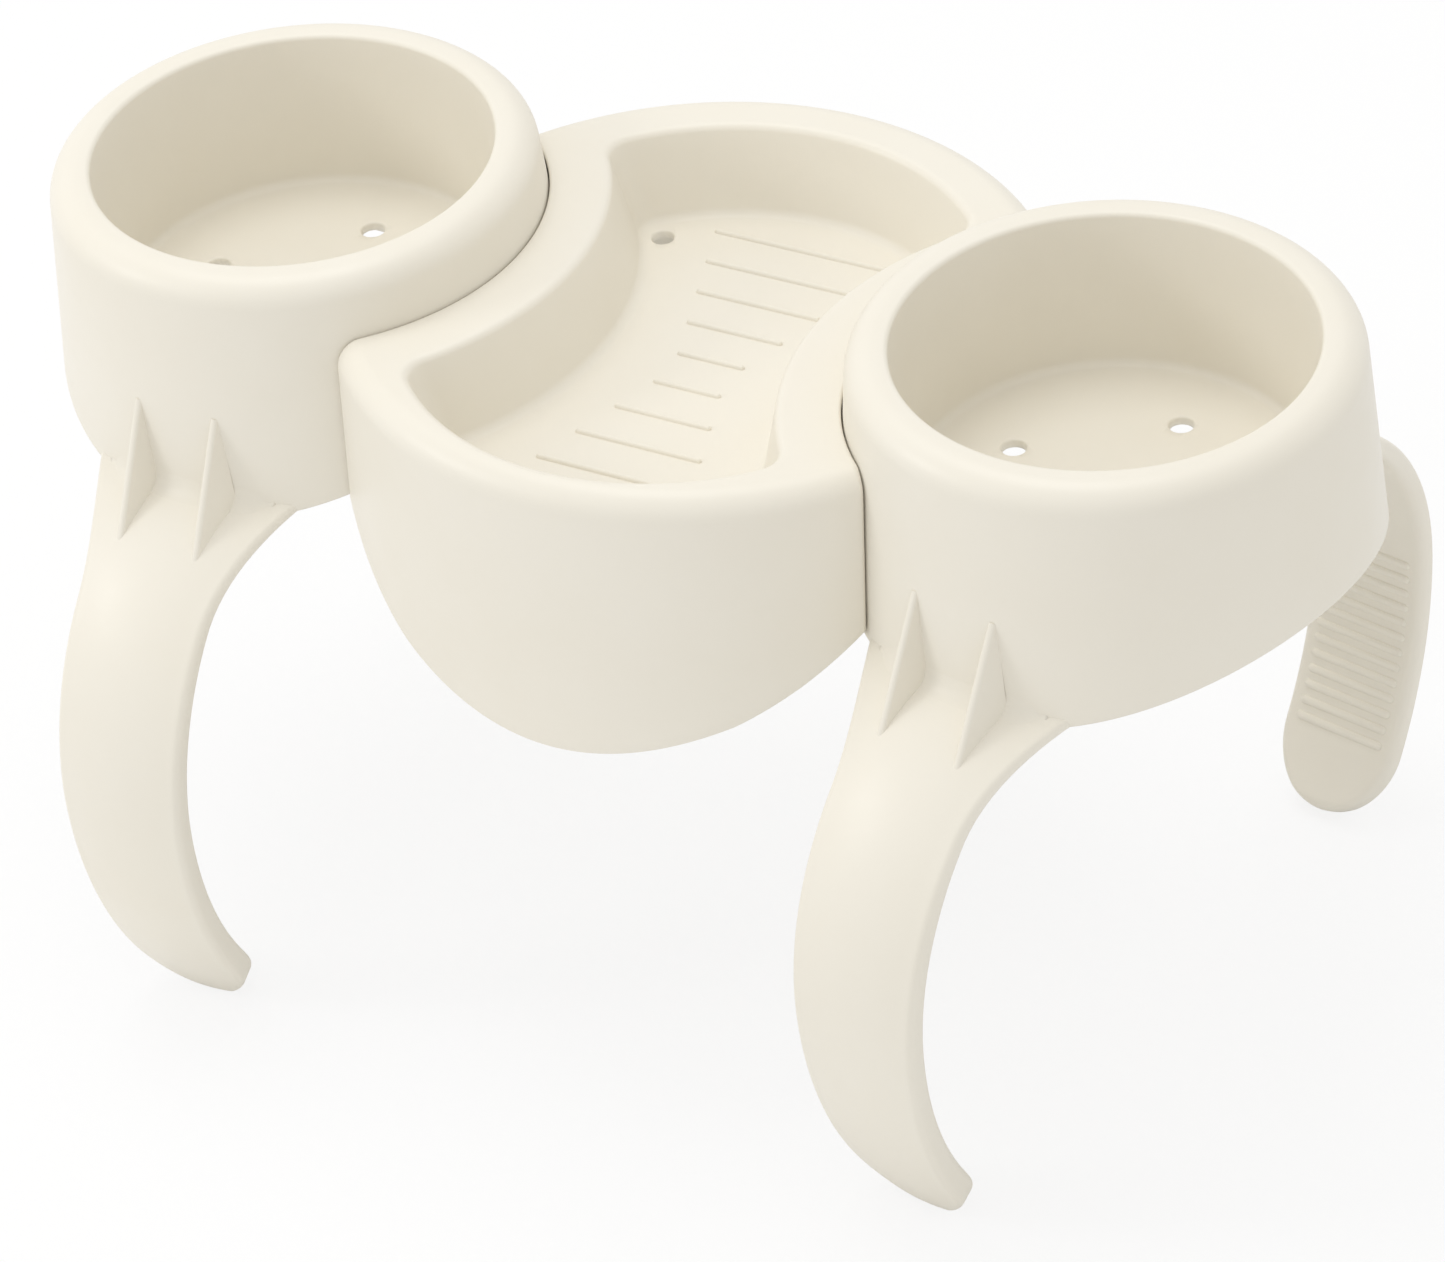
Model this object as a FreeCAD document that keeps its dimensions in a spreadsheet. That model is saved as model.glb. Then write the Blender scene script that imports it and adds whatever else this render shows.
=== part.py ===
"""Hot tub tray: two cup holders that hook over the tub wall, and a snack tray hung between them.

Frame, in millimetres: X runs along the row of cups, from the left holder to the right one, Y runs from the
front claws to the rear paddles, and Z is up. Z is zero on the ground that the claws and paddles stand on, and X
and Y are zero in the middle of the tray. Each piece is built about its own axis with depths counted down from
the top of the cup's rim, and is then turned and lifted into place.
"""
import FreeCAD, Part
import Sketcher
import math
import os
import re

from FreeCAD import Placement, Rotation, Vector

SIZES = {
    # Cup and rim
    "cup_radius": 53.0,
    "cup_floor_radius": 51.8,
    "cup_depth": 45.6,
    "cup_wall": 2.6,
    "cup_corner": 2.4,
    "rim_width": 10.8,
    "rim_round": 7.5,
    "rim_edge": 1.4,
    "drain_radius": 3.2,
    "drain_circle": 30.2,
    # Skirt, and the saddle that the round top of the tub wall fills
    "skirt_depth": 76.0,
    "skirt_flare": 6.0,
    "skirt_wall": 2.6,
    "saddle_radius": 140.0,
    "saddle_drop": 52.6,
    # Legs: the ground is this far below the rim
    "leg_height": 215.0,
    "leg_grow": 6.0,
    "leg_thin": 4.0,
    "leg_edge": 2.6,
    "root_flare": 26.4,
    "root_depth": 62.0,
    "neck_depth": 86.0,
    # Claw at the front: reach and radii are those of its face's side edges
    "claw_reach": 117.0,
    "claw_belly": 140.0,
    "claw_bend_up": 79.0,
    "claw_bend_down": 124.0,
    "claw_thick": 6.0,
    "claw_crown": 3.2,
    "claw_half_neck": 19.6,
    "claw_half_tip": 17.3,
    "claw_tip_round": 17.3,
    # Paddle at the back
    "paddle_reach": 118.0,
    "paddle_belly": 137.0,
    "paddle_bend_up": 72.0,
    "paddle_bend_down": 120.0,
    "paddle_thick": 6.0,
    "paddle_crown": 1.2,
    "paddle_half_neck": 18.0,
    "paddle_half_tip": 17.6,
    "paddle_tip_round": 17.6,
    "grip_pitch": 4.6,
    "grip_count": 13.0,
    "grip_length": 28.0,
    "grip_radius": 1.3,
    "grip_proud": 0.8,
    "grip_foot": 23.0,
    # Fins and pad between skirt and claw
    "fin_spread": 11.6,
    "fin_thick": 2.4,
    "fin_top": 39.9,
    "fin_foot": 77.0,
    "fin_foot_reach": 85.4,
    "pad_top": 42.0,
    "pad_half": 26.5,
    "pad_proud": 1.4,
    # Tray
    "cup_pitch": 233.0,
    "tray_drop": 17.5,
    "tray_depth": 102.0,
    "tray_front_reach": 86.0,
    "tray_front_arc": 98.6,
    "tray_back_reach": 93.3,
    "tray_back_arc": 93.3,
    "tray_flare": 4.9,
    "tray_wall": 2.6,
    "tray_round": 6.5,
    "tray_gap": 0.35,
    "tray_saddle_radius": 125.0,
    "tray_saddle_drop": 58.0,
    "keel_radius": 97.0,
    "keel_drop": 1.0,
    "dish_depth": 25.0,
    "dish_half_length": 78.2,
    "dish_arc": 71.6,
    "dish_side": 16.3,
    "dish_lean": 5.5,
    "dish_corner": 7.0,
    "dish_floor_corner": 4.0,
    "rib_pitch": 13.1,
    "rib_count": 10.0,
    "rib_half_short": 9.0,
    "rib_half_step": 4.2,
    "rib_wide": 1.5,
    "rib_high": 0.8,
    "tray_drain_radius": 3.0,
    "tray_drain_from_cup": 78.2,
    "tray_drain_along": 51.5,
    # Tongue of the tray, hooked through a slot in each skirt
    "tongue_drop": 32.0,
    "tongue_thick": 2.6,
    "tongue_span": 22.0,
    "tongue_hook": 5.6,
    "swivel": 12.0,
    "slot_play": 1.5,
    "clearance": 0.3,
    # How the holders stand in the photograph, in degrees about their cups
    "turn_left": -1.0,
    "turn_right": -10.5,
}

SIZE_NAME = re.compile(r"\b(" + "|".join(sorted(SIZES, key=len, reverse=True)) + r")\b")
ALONG_X = Rotation(Vector(1, 1, 1), 120)         # turns X, Y, Z into Y, Z, X
FACING_FRONT = Rotation(Vector(1, 0, 0), 90)     # turns X, Y, Z into X, Z, -Y


def new_sheet(doc):
    """Writes the driving sizes into a spreadsheet, each under its own name."""
    sheet = doc.addObject("Spreadsheet::Sheet", "sizes")
    for row, (name, value) in enumerate(SIZES.items(), start=1):
        sheet.set(f"A{row}", name)
        sheet.set(f"B{row}", str(value))
        sheet.setAlias(f"B{row}", name)
    doc.recompute()
    return sheet


class Bench:
    """Adds objects to the document, each size an expression on the sheet."""

    def __init__(self, doc, sheet, prefix):
        self.doc = doc
        self.sheet = sheet
        self.prefix = prefix

    def value(self, text):
        """The number that an expression on the sheet comes to now."""
        return float(self.sheet.evalExpression(text))

    def bind(self, item, sizes):
        for prop, text in sizes.items():
            item.setExpression(prop, SIZE_NAME.sub(r"sizes.\1", text))
        return item

    def new(self, kind, name, sizes=None, **fixed):
        item = self.doc.addObject(kind, f"{self.prefix}_{name}")
        for prop, value in fixed.items():
            setattr(item, prop, value)
        return self.bind(item, sizes or {})

    def cone(self, name, low, high, height, bottom, x="0", y="0"):
        """A frustum about a vertical axis, with radius low at its foot and high at its top."""
        return self.new("Part::Cone", name, {
            "Radius1": low, "Radius2": high, "Height": height,
            "Placement.Base.x": x, "Placement.Base.y": y, "Placement.Base.z": bottom})

    def post(self, name, radius, height, bottom, x="0", y="0", sweep="360"):
        """A cylinder about a vertical axis, or a wedge of one that starts at +X."""
        return self.new("Part::Cylinder", name, {
            "Radius": radius, "Height": height, "Angle": sweep,
            "Placement.Base.x": x, "Placement.Base.y": y, "Placement.Base.z": bottom})

    def roller(self, name, radius, length, y, z, sweep="360", flip=False):
        """A cylinder along X, centred on X = 0. A sweep of 180 gives the half above its axis, or below."""
        turn = Rotation(Vector(1, 0, 0), 180 if flip else 0).multiply(ALONG_X)
        return self.new("Part::Cylinder", name, {
            "Radius": radius, "Height": length, "Angle": sweep,
            "Placement.Base.x": f"-({length}) / 2", "Placement.Base.y": y, "Placement.Base.z": z,
        }, Placement=Placement(Vector(), turn))

    def sketch(self, name, corners, arcs=None, turn=Rotation(), place=None):
        """A closed outline. Its corners are pairs of expressions, given anticlockwise.

        arcs gives sides that are arcs: the number of the corner that a side starts from, its radius, and +1
        where it bows outwards or -1 where it bows inwards.
        """
        item = self.new("Sketcher::SketchObject", name, place, Placement=Placement(Vector(), turn))
        spots = [Vector(self.value(x), self.value(y), 0) for x, y in corners]
        bows = {number: (radius, side) for number, radius, side in arcs or ()}
        ends = []
        for number, start in enumerate(spots):
            end = spots[(number + 1) % len(spots)]
            if number in bows:
                radius, side = bows[number]
                item.addGeometry(bow(start, end, self.value(radius), side))
                ends.append((1, 2) if side > 0 else (2, 1))
            else:
                item.addGeometry(Part.LineSegment(start, end))
                ends.append((1, 2))
        for number, (x, y) in enumerate(corners):
            after = (number + 1) % len(spots)
            item.addConstraint(
                Sketcher.Constraint("Coincident", number, ends[number][1], after, ends[after][0]))
            for kind, text in (("DistanceX", x), ("DistanceY", y)):
                row = item.addConstraint(Sketcher.Constraint(kind, number, ends[number][0], self.value(text)))
                self.bind(item, {f"Constraints[{row}]": text})
        for number, (radius, side) in bows.items():
            row = item.addConstraint(Sketcher.Constraint("Radius", number, self.value(radius)))
            self.bind(item, {f"Constraints[{row}]": radius})
        return item

    def extrude(self, name, outline, length, direction):
        """Carries a flat outline both ways from its plane."""
        return self.new("Part::Extrusion", name, {"LengthFwd": length}, Base=outline, Dir=direction,
                        DirMode="Custom", Solid=True, Symmetric=True)

    def revolve(self, name, outline, angle, y, z):
        """Turns a flat outline about an axis that lies along X."""
        return self.new("Part::Revolution", name, {"Base.y": y, "Base.z": z, "Angle": angle},
                        Source=outline, Axis=Vector(1, 0, 0), Solid=True)

    def box(self, name, x, y, z, wide, deep, high):
        return self.new("Part::Box", name, {
            "Length": wide, "Width": deep, "Height": high,
            "Placement.Base.x": x, "Placement.Base.y": y, "Placement.Base.z": z})

    def cut(self, name, base, tool):
        return self.new("Part::Cut", name, Base=base, Tool=tool)

    def common(self, name, *shapes):
        return self.new("Part::MultiCommon", name, Shapes=list(shapes))

    def fuse(self, name, *shapes):
        return self.new("Part::MultiFuse", name, Shapes=list(shapes), Refine=True)

    def fillet(self, name, base, radius, chosen):
        """Rounds those edges of base that chosen() picks."""
        self.doc.recompute()
        size = self.value(radius)
        picked = [(number, size, size)
                  for number, edge in enumerate(base.Shape.Edges, start=1) if chosen(edge)]
        return self.new("Part::Fillet", name, Base=base, Edges=picked)


def bow(start, end, radius, side):
    """An arc from start to end, bowing to the right of the way for side +1 and to the left for -1."""
    middle = (start + end) * 0.5
    chord = end - start
    right = Vector(chord.y, -chord.x, 0).normalize()
    height = math.sqrt(max(radius ** 2 - chord.Length ** 2 / 4, 0.0))
    centre = middle - right * side * height
    circle = Part.Circle(centre, Vector(0, 0, 1), radius)
    first, last = (start, end) if side > 0 else (end, start)
    return Part.ArcOfCircle(circle, circle.parameter(first), circle.parameter(last))


def ring_edge(radius, z, tol=0.02):
    """Picks a circle about the Z axis."""
    def chosen(edge):
        curve = edge.Curve
        return (isinstance(curve, Part.Circle) and abs(curve.Radius - radius) < tol
                and abs(curve.Center.z - z) < tol and math.hypot(curve.Center.x, curve.Center.y) < tol)
    return chosen


def level_edge(z, tol=0.02):
    """Picks every edge that lies flat at height z."""
    def chosen(edge):
        box = edge.BoundBox
        return abs(box.ZMin - z) < tol and abs(box.ZMax - z) < tol
    return chosen


def steep_edge(edge):
    """Picks the edges where two walls meet, which run from the top to the bottom."""
    box = edge.BoundBox
    return box.ZLength > box.XLength and box.ZLength > box.YLength


class Holder:
    """One cup holder, built about its cup's axis with the rim's top at Z = 0."""

    SKIRT = "(cup_radius + rim_width + skirt_flare * ({depth}) / skirt_depth)"

    def __init__(self, doc, sheet, name, tray_side):
        self.bench = Bench(doc, sheet, name)
        self.name = name
        self.tray_side = tray_side

    def skirt_at(self, depth):
        return self.SKIRT.format(depth=depth)

    def cup(self):
        """Rim, cup and skirt, one wall turned back on itself and open underneath."""
        b = self.bench
        outer = b.cone("skirt_outside", self.skirt_at("skirt_depth"), self.skirt_at("0"),
                       "skirt_depth", "-skirt_depth")
        rounded = b.fillet("rim", outer, "rim_round", ring_edge(b.value("cup_radius + rim_width"), 0))
        inside = b.cone("skirt_inside", self.skirt_at("skirt_depth") + " - skirt_wall",
                        self.skirt_at("cup_wall") + " - skirt_wall", "skirt_depth - cup_wall", "-skirt_depth")
        inside_round = b.fillet("rim_inside", inside, "rim_round - skirt_wall",
                                ring_edge(b.value(self.skirt_at("cup_wall") + " - skirt_wall"),
                                          b.value("-cup_wall")))
        wall = b.cone("cup_outside", "cup_floor_radius + cup_wall", "cup_radius + cup_wall",
                      "cup_depth + cup_wall", "-cup_depth - cup_wall")
        wall_foot = ring_edge(b.value("cup_floor_radius + cup_wall"), b.value("-cup_depth - cup_wall"))
        wall_round = b.fillet("cup_outside_round", wall, "cup_corner + cup_wall", wall_foot)
        hollow = b.cut("hollow", inside_round, wall_round)
        bore = b.cone("bore", "cup_floor_radius", "cup_radius", "cup_depth", "-cup_depth")
        bore_round = b.fillet("bore_round", bore, "cup_corner",
                              ring_edge(b.value("cup_floor_radius"), b.value("-cup_depth")))
        solid = b.cut("solid", rounded, hollow)
        open_cup = b.cut("open_cup", solid, bore_round)
        saddle = b.roller("saddle", "saddle_radius", "4 * cup_radius", "0", "-saddle_drop - saddle_radius")
        arched = b.cut("arched", open_cup, saddle)
        drains = [b.post(f"drain_{n}", "drain_radius", "4 * cup_wall", "-cup_depth - 2 * cup_wall",
                         f"drain_circle * cos({90 * n})", f"drain_circle * sin({90 * n})") for n in range(4)]
        drained = b.cut("drained", arched, b.fuse("drains", *drains))
        edged = b.fillet("edged", drained, "rim_edge", ring_edge(b.value("cup_radius"), 0))
        return b.cut("slotted", edged, self.slot())

    def slot(self):
        """The window in the skirt, facing the tray, that the tray's tongue hooks through."""
        b = self.bench
        half = "(tongue_span + swivel + slot_play)"
        high = "tongue_thick + 2 * clearance + tongue_hook + clearance"
        foot = "-tongue_drop - tongue_thick - clearance"
        outer = b.post("slot_out", self.skirt_at("skirt_depth"), high, foot, sweep=f"2 * {half}")
        inner = b.post("slot_in", "(cup_radius + cup_wall + rim_width / 3)", high, foot, sweep=f"2 * {half}")
        start = f"-{half}" if self.tray_side > 0 else f"180 - {half}"
        for item in (outer, inner):
            b.bind(item, {"Placement.Rotation.Angle": start})
        return b.cut("slot", outer, inner)

    def trim(self):
        """All that lies inside the skirt, where no leg may show."""
        b = self.bench
        return b.cone("trim", self.skirt_at("skirt_depth") + " - skirt_wall / 2",
                      self.skirt_at("0") + " - skirt_wall / 2", "skirt_depth", "-skirt_depth")

    def leg(self, kind, back):
        """A claw or paddle: a crowned face on two bends, its back on two half rollers, cut to its outline.

        back is -1 for the claw, which reaches towards -Y, and +1 for the paddle.
        """
        b = self.bench
        reach, belly, thick = f"{kind}_reach", f"{kind}_belly", f"{kind}_thick"
        up, down, crown = f"{kind}_bend_up", f"{kind}_bend_down", f"{kind}_crown"
        neck, tip, tip_round = f"{kind}_half_neck", f"{kind}_half_tip", f"{kind}_tip_round"
        wide = "(1.6 * root_flare)"
        crown_radius = f"(({neck} ^ 2 + {crown} ^ 2) / (2 * {crown}))"
        drop = f"({crown_radius} - sqrt({crown_radius} ^ 2 - {wide} ^ 2))"
        bends = []
        for place, bend, sweep in (("up", up, -110 * back), ("down", down, 60 * back)):
            deep = f"({bend} / 2)"
            edge = f"({bend} + {crown} - {drop})"
            face = b.sketch(f"{kind}_face_{place}", [
                (f"-{wide}", deep), (wide, deep), (wide, edge), (f"-{wide}", edge)],
                [(2, crown_radius, 1)],
                turn=Rotation(Vector(1, 0, 0), 0 if back > 0 else 180),
                place={"Placement.Base.y": f"{back} * ({reach} - {bend})", "Placement.Base.z": f"-{belly}"})
            bends.append(b.revolve(f"{kind}_{place}", face, f"{-sweep}", f"{back} * ({reach} - {bend})",
                                   f"-{belly}"))
        solid = b.fuse(f"{kind}_bends", *bends)
        above = f"({up} - {thick} + leg_thin)"
        below = f"({down} - {thick} - leg_grow)"
        rollers = [
            b.roller(f"{kind}_back_up", above, f"3 * {wide}", f"{back} * ({reach} - {thick} - {above})",
                     f"-{belly}", "180"),
            b.roller(f"{kind}_back_down", below, f"3 * {wide}", f"{back} * ({reach} - {thick} - {below})",
                     f"-{belly}", "180", flip=True)]
        bent = b.cut(f"{kind}_bent", solid, b.fuse(f"{kind}_back", *rollers))
        root = f"({neck} + root_flare - sqrt(root_flare ^ 2 - (neck_depth - root_depth) ^ 2))"
        outline = b.sketch(f"{kind}_outline", [
            (root, "-root_depth"), (root, "-root_depth / 2"), (f"-{root}", "-root_depth / 2"),
            (f"-{root}", "-root_depth"), (f"-{neck}", "-neck_depth"),
            (f"-{tip}", f"-leg_height + {tip_round}"), ("0", "-leg_height"),
            (tip, f"-leg_height + {tip_round}"), (neck, "-neck_depth")],
            [(3, "root_flare", -1), (5, f"(({tip} ^ 2 + {tip_round} ^ 2) / (2 * {tip_round}))", 1),
             (6, f"(({tip} ^ 2 + {tip_round} ^ 2) / (2 * {tip_round}))", 1), (8, "root_flare", -1)],
            turn=FACING_FRONT)
        front = b.extrude(f"{kind}_front", outline, "6 * cup_radius", Vector(0, 1, 0))
        half_space = b.box(f"{kind}_side", "-2 * cup_radius", "0" if back > 0 else "-4 * cup_radius",
                           "-leg_height - cup_radius", "4 * cup_radius", "4 * cup_radius",
                           "leg_height + cup_radius")
        cut_out = b.common(f"{kind}_cut_out", bent, front, half_space)
        return b.fillet(f"{kind}_rounded", cut_out, "leg_edge", self.long_edge(kind, back, face_too=back < 0))

    def long_edge(self, kind, back, face_too):
        """Picks a leg's long edges outside the skirt: its back's, and its outer face's where face_too is set."""
        b = self.bench
        reach, belly, thick = (b.value(f"{kind}_{size}") for size in ("reach", "belly", "thick"))
        up, down = (b.value(f"{kind}_bend_{way}") for way in ("up", "down"))
        inside = b.value("0.6 * cup_radius")

        def chosen(edge):
            box = edge.BoundBox
            if box.ZLength < 0.01 or min(abs(box.YMin), abs(box.YMax)) < inside:
                return False
            middle = edge.valueAt((edge.FirstParameter + edge.LastParameter) / 2)
            bend = up if middle.z > -belly else down
            off_axis = math.hypot(middle.y - back * (reach - bend), middle.z + belly)
            return box.XLength > 0.01 and (face_too or off_axis < bend - thick / 2)
        return chosen

    def fins(self):
        """Two upright fins that brace the claw against the skirt, and the flat pad between them."""
        b = self.bench
        root_y = f"-{self.skirt_at('fin_top')}"
        side = b.sketch("fin_side", [
            (f"{root_y} + 1.5 * skirt_wall", "-fin_top"), (f"{root_y} + 1.5 * skirt_wall", "-root_depth"),
            ("-fin_foot_reach + claw_thick", "-fin_foot"), ("-fin_foot_reach", "-fin_foot"),
            (f"{root_y} + skirt_wall / 4", "-fin_top")], turn=ALONG_X)
        pair = []
        for mark, sign in (("a", "-"), ("b", "")):
            fin = b.extrude(f"fin_{mark}", side, "fin_thick", Vector(1, 0, 0))
            b.bind(fin, {"Placement.Base.x": f"{sign}fin_spread"})
            pair.append(fin)
        top_y = f"-sqrt({self.skirt_at('pad_top')} ^ 2 - pad_half ^ 2)"
        low_y = f"-sqrt({self.skirt_at('root_depth')} ^ 2 - pad_half ^ 2)"
        pad_side = b.sketch("pad_side", [
            (top_y, "-pad_top"), (f"{low_y} - pad_proud", "-root_depth - claw_thick"),
            (f"{low_y} + skirt_wall", "-root_depth - claw_thick"), (f"{top_y} + skirt_wall", "-pad_top")],
            turn=ALONG_X)
        pad = b.extrude("pad", pad_side, "2 * pad_half", Vector(1, 0, 0))
        return pair + [pad]

    def grips(self):
        """Raised ribs with round ends across the inner face of the paddle."""
        b = self.bench
        above = "(paddle_bend_up - paddle_thick + leg_thin)"
        below = "(paddle_bend_down - paddle_thick - leg_grow)"
        drop = "(leg_height - grip_foot - paddle_belly)"
        lowest = f"({below} * asin({drop} / {below}) * pi / 180 / 1 deg)"
        sink = "(grip_radius - grip_proud)"
        straight = "(grip_length - 2 * grip_radius)"
        ribs = []
        for n in range(round(b.value("grip_count"))):
            along = f"({lowest} - {n} * grip_pitch)"
            radius = below if b.value(along) > 0 else above
            angle = f"({along} / {radius} * 1 rad)"
            y = f"paddle_reach - paddle_thick - {radius} + ({radius} + {sink}) * cos({angle})"
            z = f"-paddle_belly - ({radius} + {sink}) * sin({angle})"
            ribs.append(b.roller(f"grip_{n}", "grip_radius", straight, y, z))
            for mark, sign in (("l", "-"), ("r", "")):
                ribs.append(b.new("Part::Sphere", f"grip_{n}{mark}", {
                    "Radius": "grip_radius", "Placement.Base.x": f"{sign}{straight} / 2",
                    "Placement.Base.y": y, "Placement.Base.z": z}))
        return ribs

    def build(self):
        b = self.bench
        legs = b.fuse("legs", self.leg("claw", -1), self.leg("paddle", 1), *self.fins())
        trimmed = b.cut("legs_trimmed", legs, self.trim())
        whole = b.fuse("whole", self.cup(), trimmed, *self.grips())
        whole.Label = self.name
        return whole


class Tray:
    """The snack tray, built about the middle of the row with the cups' rims at Z = 0."""

    HALF_PITCH = "cup_pitch / 2"

    def __init__(self, doc, sheet, name):
        self.bench = Bench(doc, sheet, name)
        self.name = name

    def lens(self, name, arcs, top, bottom, grow, edge_round=None, crossed=True):
        """Two frustums whose arcs bow to the front and the back: what both hold, or else what either holds.

        arcs gives the plan radius at the top and the reach from the middle, for the front and for the back,
        and grow is how much larger both radii are at the bottom.
        """
        b = self.bench
        halves = []
        for mark, side, (arc, reach) in zip(("front", "back"), (1, -1), arcs):
            half = b.cone(f"{name}_{mark}", f"{arc} + {grow}", arc, f"{bottom} - {top}", f"-({bottom})",
                          y=f"{side} * ({arc} - ({reach}))")
            if edge_round:
                half = b.fillet(f"{name}_{mark}_round", half, edge_round, level_edge(-b.value(top)))
            halves.append(half)
        return b.common(name, *halves) if crossed else b.fuse(name, *halves)

    def sides(self, name, step, bottom):
        """The round bodies that hollow the tray's two sides, standing off the skirts by step."""
        b = self.bench
        radius = "cup_radius + rim_width + skirt_flare * {depth} / skirt_depth + " + step
        pair = []
        for mark, sign in (("left", "-"), ("right", "")):
            pair.append(b.cone(f"{name}_{mark}", radius.format(depth=f"({bottom})"),
                               radius.format(depth="tray_drop"), f"{bottom} - tray_drop", f"-({bottom})",
                               x=f"{sign}{self.HALF_PITCH}"))
        return b.fuse(name, *pair)

    def dish(self, name, grown, top, corner, floor_corner):
        """The hollow that snacks lie in, or the same shape grown all round by a wall."""
        b = self.bench
        bottom = f"tray_drop + dish_depth + {grown}"
        deep = f"(({bottom}) - ({top}))"
        arc = (f"(dish_arc + {grown})", f"dish_half_length + {grown}")
        lens = self.lens(f"{name}_lens", (arc, arc), top, bottom, f"-dish_lean * {deep} / dish_depth",
                         crossed=False)
        skirt = "cup_radius + rim_width + skirt_flare * tray_drop / skirt_depth"
        radius = f"{skirt} + tray_gap + dish_side - {grown}"
        pair = []
        for mark, sign in (("left", "-"), ("right", "")):
            pair.append(b.cone(f"{name}_side_{mark}", f"{radius} + dish_lean * {deep} / dish_depth", radius,
                               f"{bottom} - ({top})", f"-({bottom})", x=f"{sign}{self.HALF_PITCH}"))
        waisted = b.cut(f"{name}_waisted", lens, b.fuse(f"{name}_sides", *pair))
        cornered = b.fillet(f"{name}_cornered", waisted, corner, steep_edge)
        return b.fillet(f"{name}_floored", cornered, floor_corner, level_edge(-b.value(bottom)))

    def ribs(self):
        """Low ribs across the floor, the middle ones shortest."""
        b = self.bench
        count = round(b.value("rib_count"))
        ribs = []
        for n in range(count):
            from_middle = n - (count - 1) / 2
            half = f"(rib_half_short + rib_half_step * {abs(from_middle) - 0.5})"
            y = f"rib_pitch * {from_middle}"
            floor = "-tray_drop - dish_depth"
            ribs.append(b.box(f"rib_{n}", f"-{half}", f"{y} - rib_wide / 2", f"{floor} - tray_wall / 2",
                              f"2 * {half}", "rib_wide", "rib_high + tray_wall / 2"))
            for mark, sign in (("l", "-"), ("r", "")):
                ribs.append(b.post(f"rib_{n}{mark}", "rib_wide / 2", "rib_high + tray_wall / 2",
                                   f"{floor} - tray_wall / 2", f"{sign}{half}", y))
        return ribs

    def tongues(self):
        """An arc of flange on each hollow side, turned down inside the skirt's slot."""
        b = self.bench
        skirt = "(cup_radius + rim_width + skirt_flare * tongue_drop / skirt_depth)"
        lip_out = f"({skirt} - skirt_wall - clearance)"
        lip_in = f"({lip_out} - tray_wall)"
        root = f"({skirt} + tray_gap + tray_wall / 2)"
        pieces = []
        for mark, side in (("left", -1), ("right", 1)):
            x = f"{side} * {self.HALF_PITCH}"
            turn = "-tongue_span" if side < 0 else "180 - tongue_span"
            rings = {}
            foot = "-tongue_drop - tongue_thick"
            for ring, radius, high, low in (
                    ("plate", root, "tongue_thick", foot),
                    ("lip", lip_out, "tongue_thick + tongue_hook", f"{foot} - tongue_hook")):
                rings[ring] = b.post(f"tongue_{ring}_{mark}", radius, high, low, x, "0", "2 * tongue_span")
            hole = b.post(f"tongue_inside_{mark}", lip_in, "3 * tongue_thick + tongue_hook",
                          "-tongue_drop - 2 * tongue_thick - tongue_hook", x, "0", "2 * tongue_span")
            for item in (*rings.values(), hole):
                b.bind(item, {"Placement.Rotation.Angle": turn})
            pieces.append(b.cut(f"tongue_{mark}", b.fuse(f"tongue_full_{mark}", *rings.values()), hole))
        return pieces

    def build(self):
        b = self.bench
        outer = self.lens("outside", (("tray_front_arc", "tray_front_reach"),
                                      ("tray_back_arc", "tray_back_reach")),
                          "tray_drop", "tray_depth", "tray_flare", "tray_round")
        body = b.cut("body", outer, self.sides("sides", "tray_gap", "tray_depth"))
        space = self.lens("inside", (("(tray_front_arc - tray_wall)", "tray_front_reach - tray_wall"),
                                     ("(tray_back_arc - tray_wall)", "tray_back_reach - tray_wall")),
                          "(tray_drop + tray_wall)", "tray_depth", "tray_flare", "tray_round - tray_wall")
        walled = b.cut("inside_walled", space,
                       self.sides("sides_grown", "tray_gap + tray_wall", "tray_depth"))
        basin = self.dish("basin", "tray_wall", "tray_drop", "dish_corner + tray_wall",
                          "dish_floor_corner + tray_wall")
        hollow = b.cut("hollow", walled, basin)
        shell = b.cut("shell", body, hollow)
        dished = b.cut("dished", shell, self.dish("dish", "0 * tray_wall", "tray_drop", "dish_corner",
                                                  "dish_floor_corner"))
        saddle = b.roller("saddle", "tray_saddle_radius", "2 * cup_pitch", "0",
                          "-tray_saddle_drop - tray_saddle_radius")
        keel = b.new("Part::Cylinder", "keel", {
            "Radius": "keel_radius", "Height": "2 * cup_pitch", "Placement.Base.y": "cup_pitch",
            "Placement.Base.z": "-keel_drop"}, Placement=Placement(Vector(), FACING_FRONT))
        arched = b.common("arched", b.cut("saddled", dished, saddle), keel)
        drains = [b.post(f"drain_{mark}", "tray_drain_radius", "4 * tray_wall",
                         "-tray_drop - dish_depth - 2 * tray_wall",
                         f"{sign}({self.HALF_PITCH} - tray_drain_from_cup)",
                         f"-({sign}tray_drain_along)") for mark, sign in (("back", "-"), ("front", ""))]
        ribbed = b.fuse("ribbed", arched, *self.ribs(), *self.tongues())
        whole = b.cut("whole", ribbed, b.fuse("drains", *drains))
        whole.Label = self.name
        return whole


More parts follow.
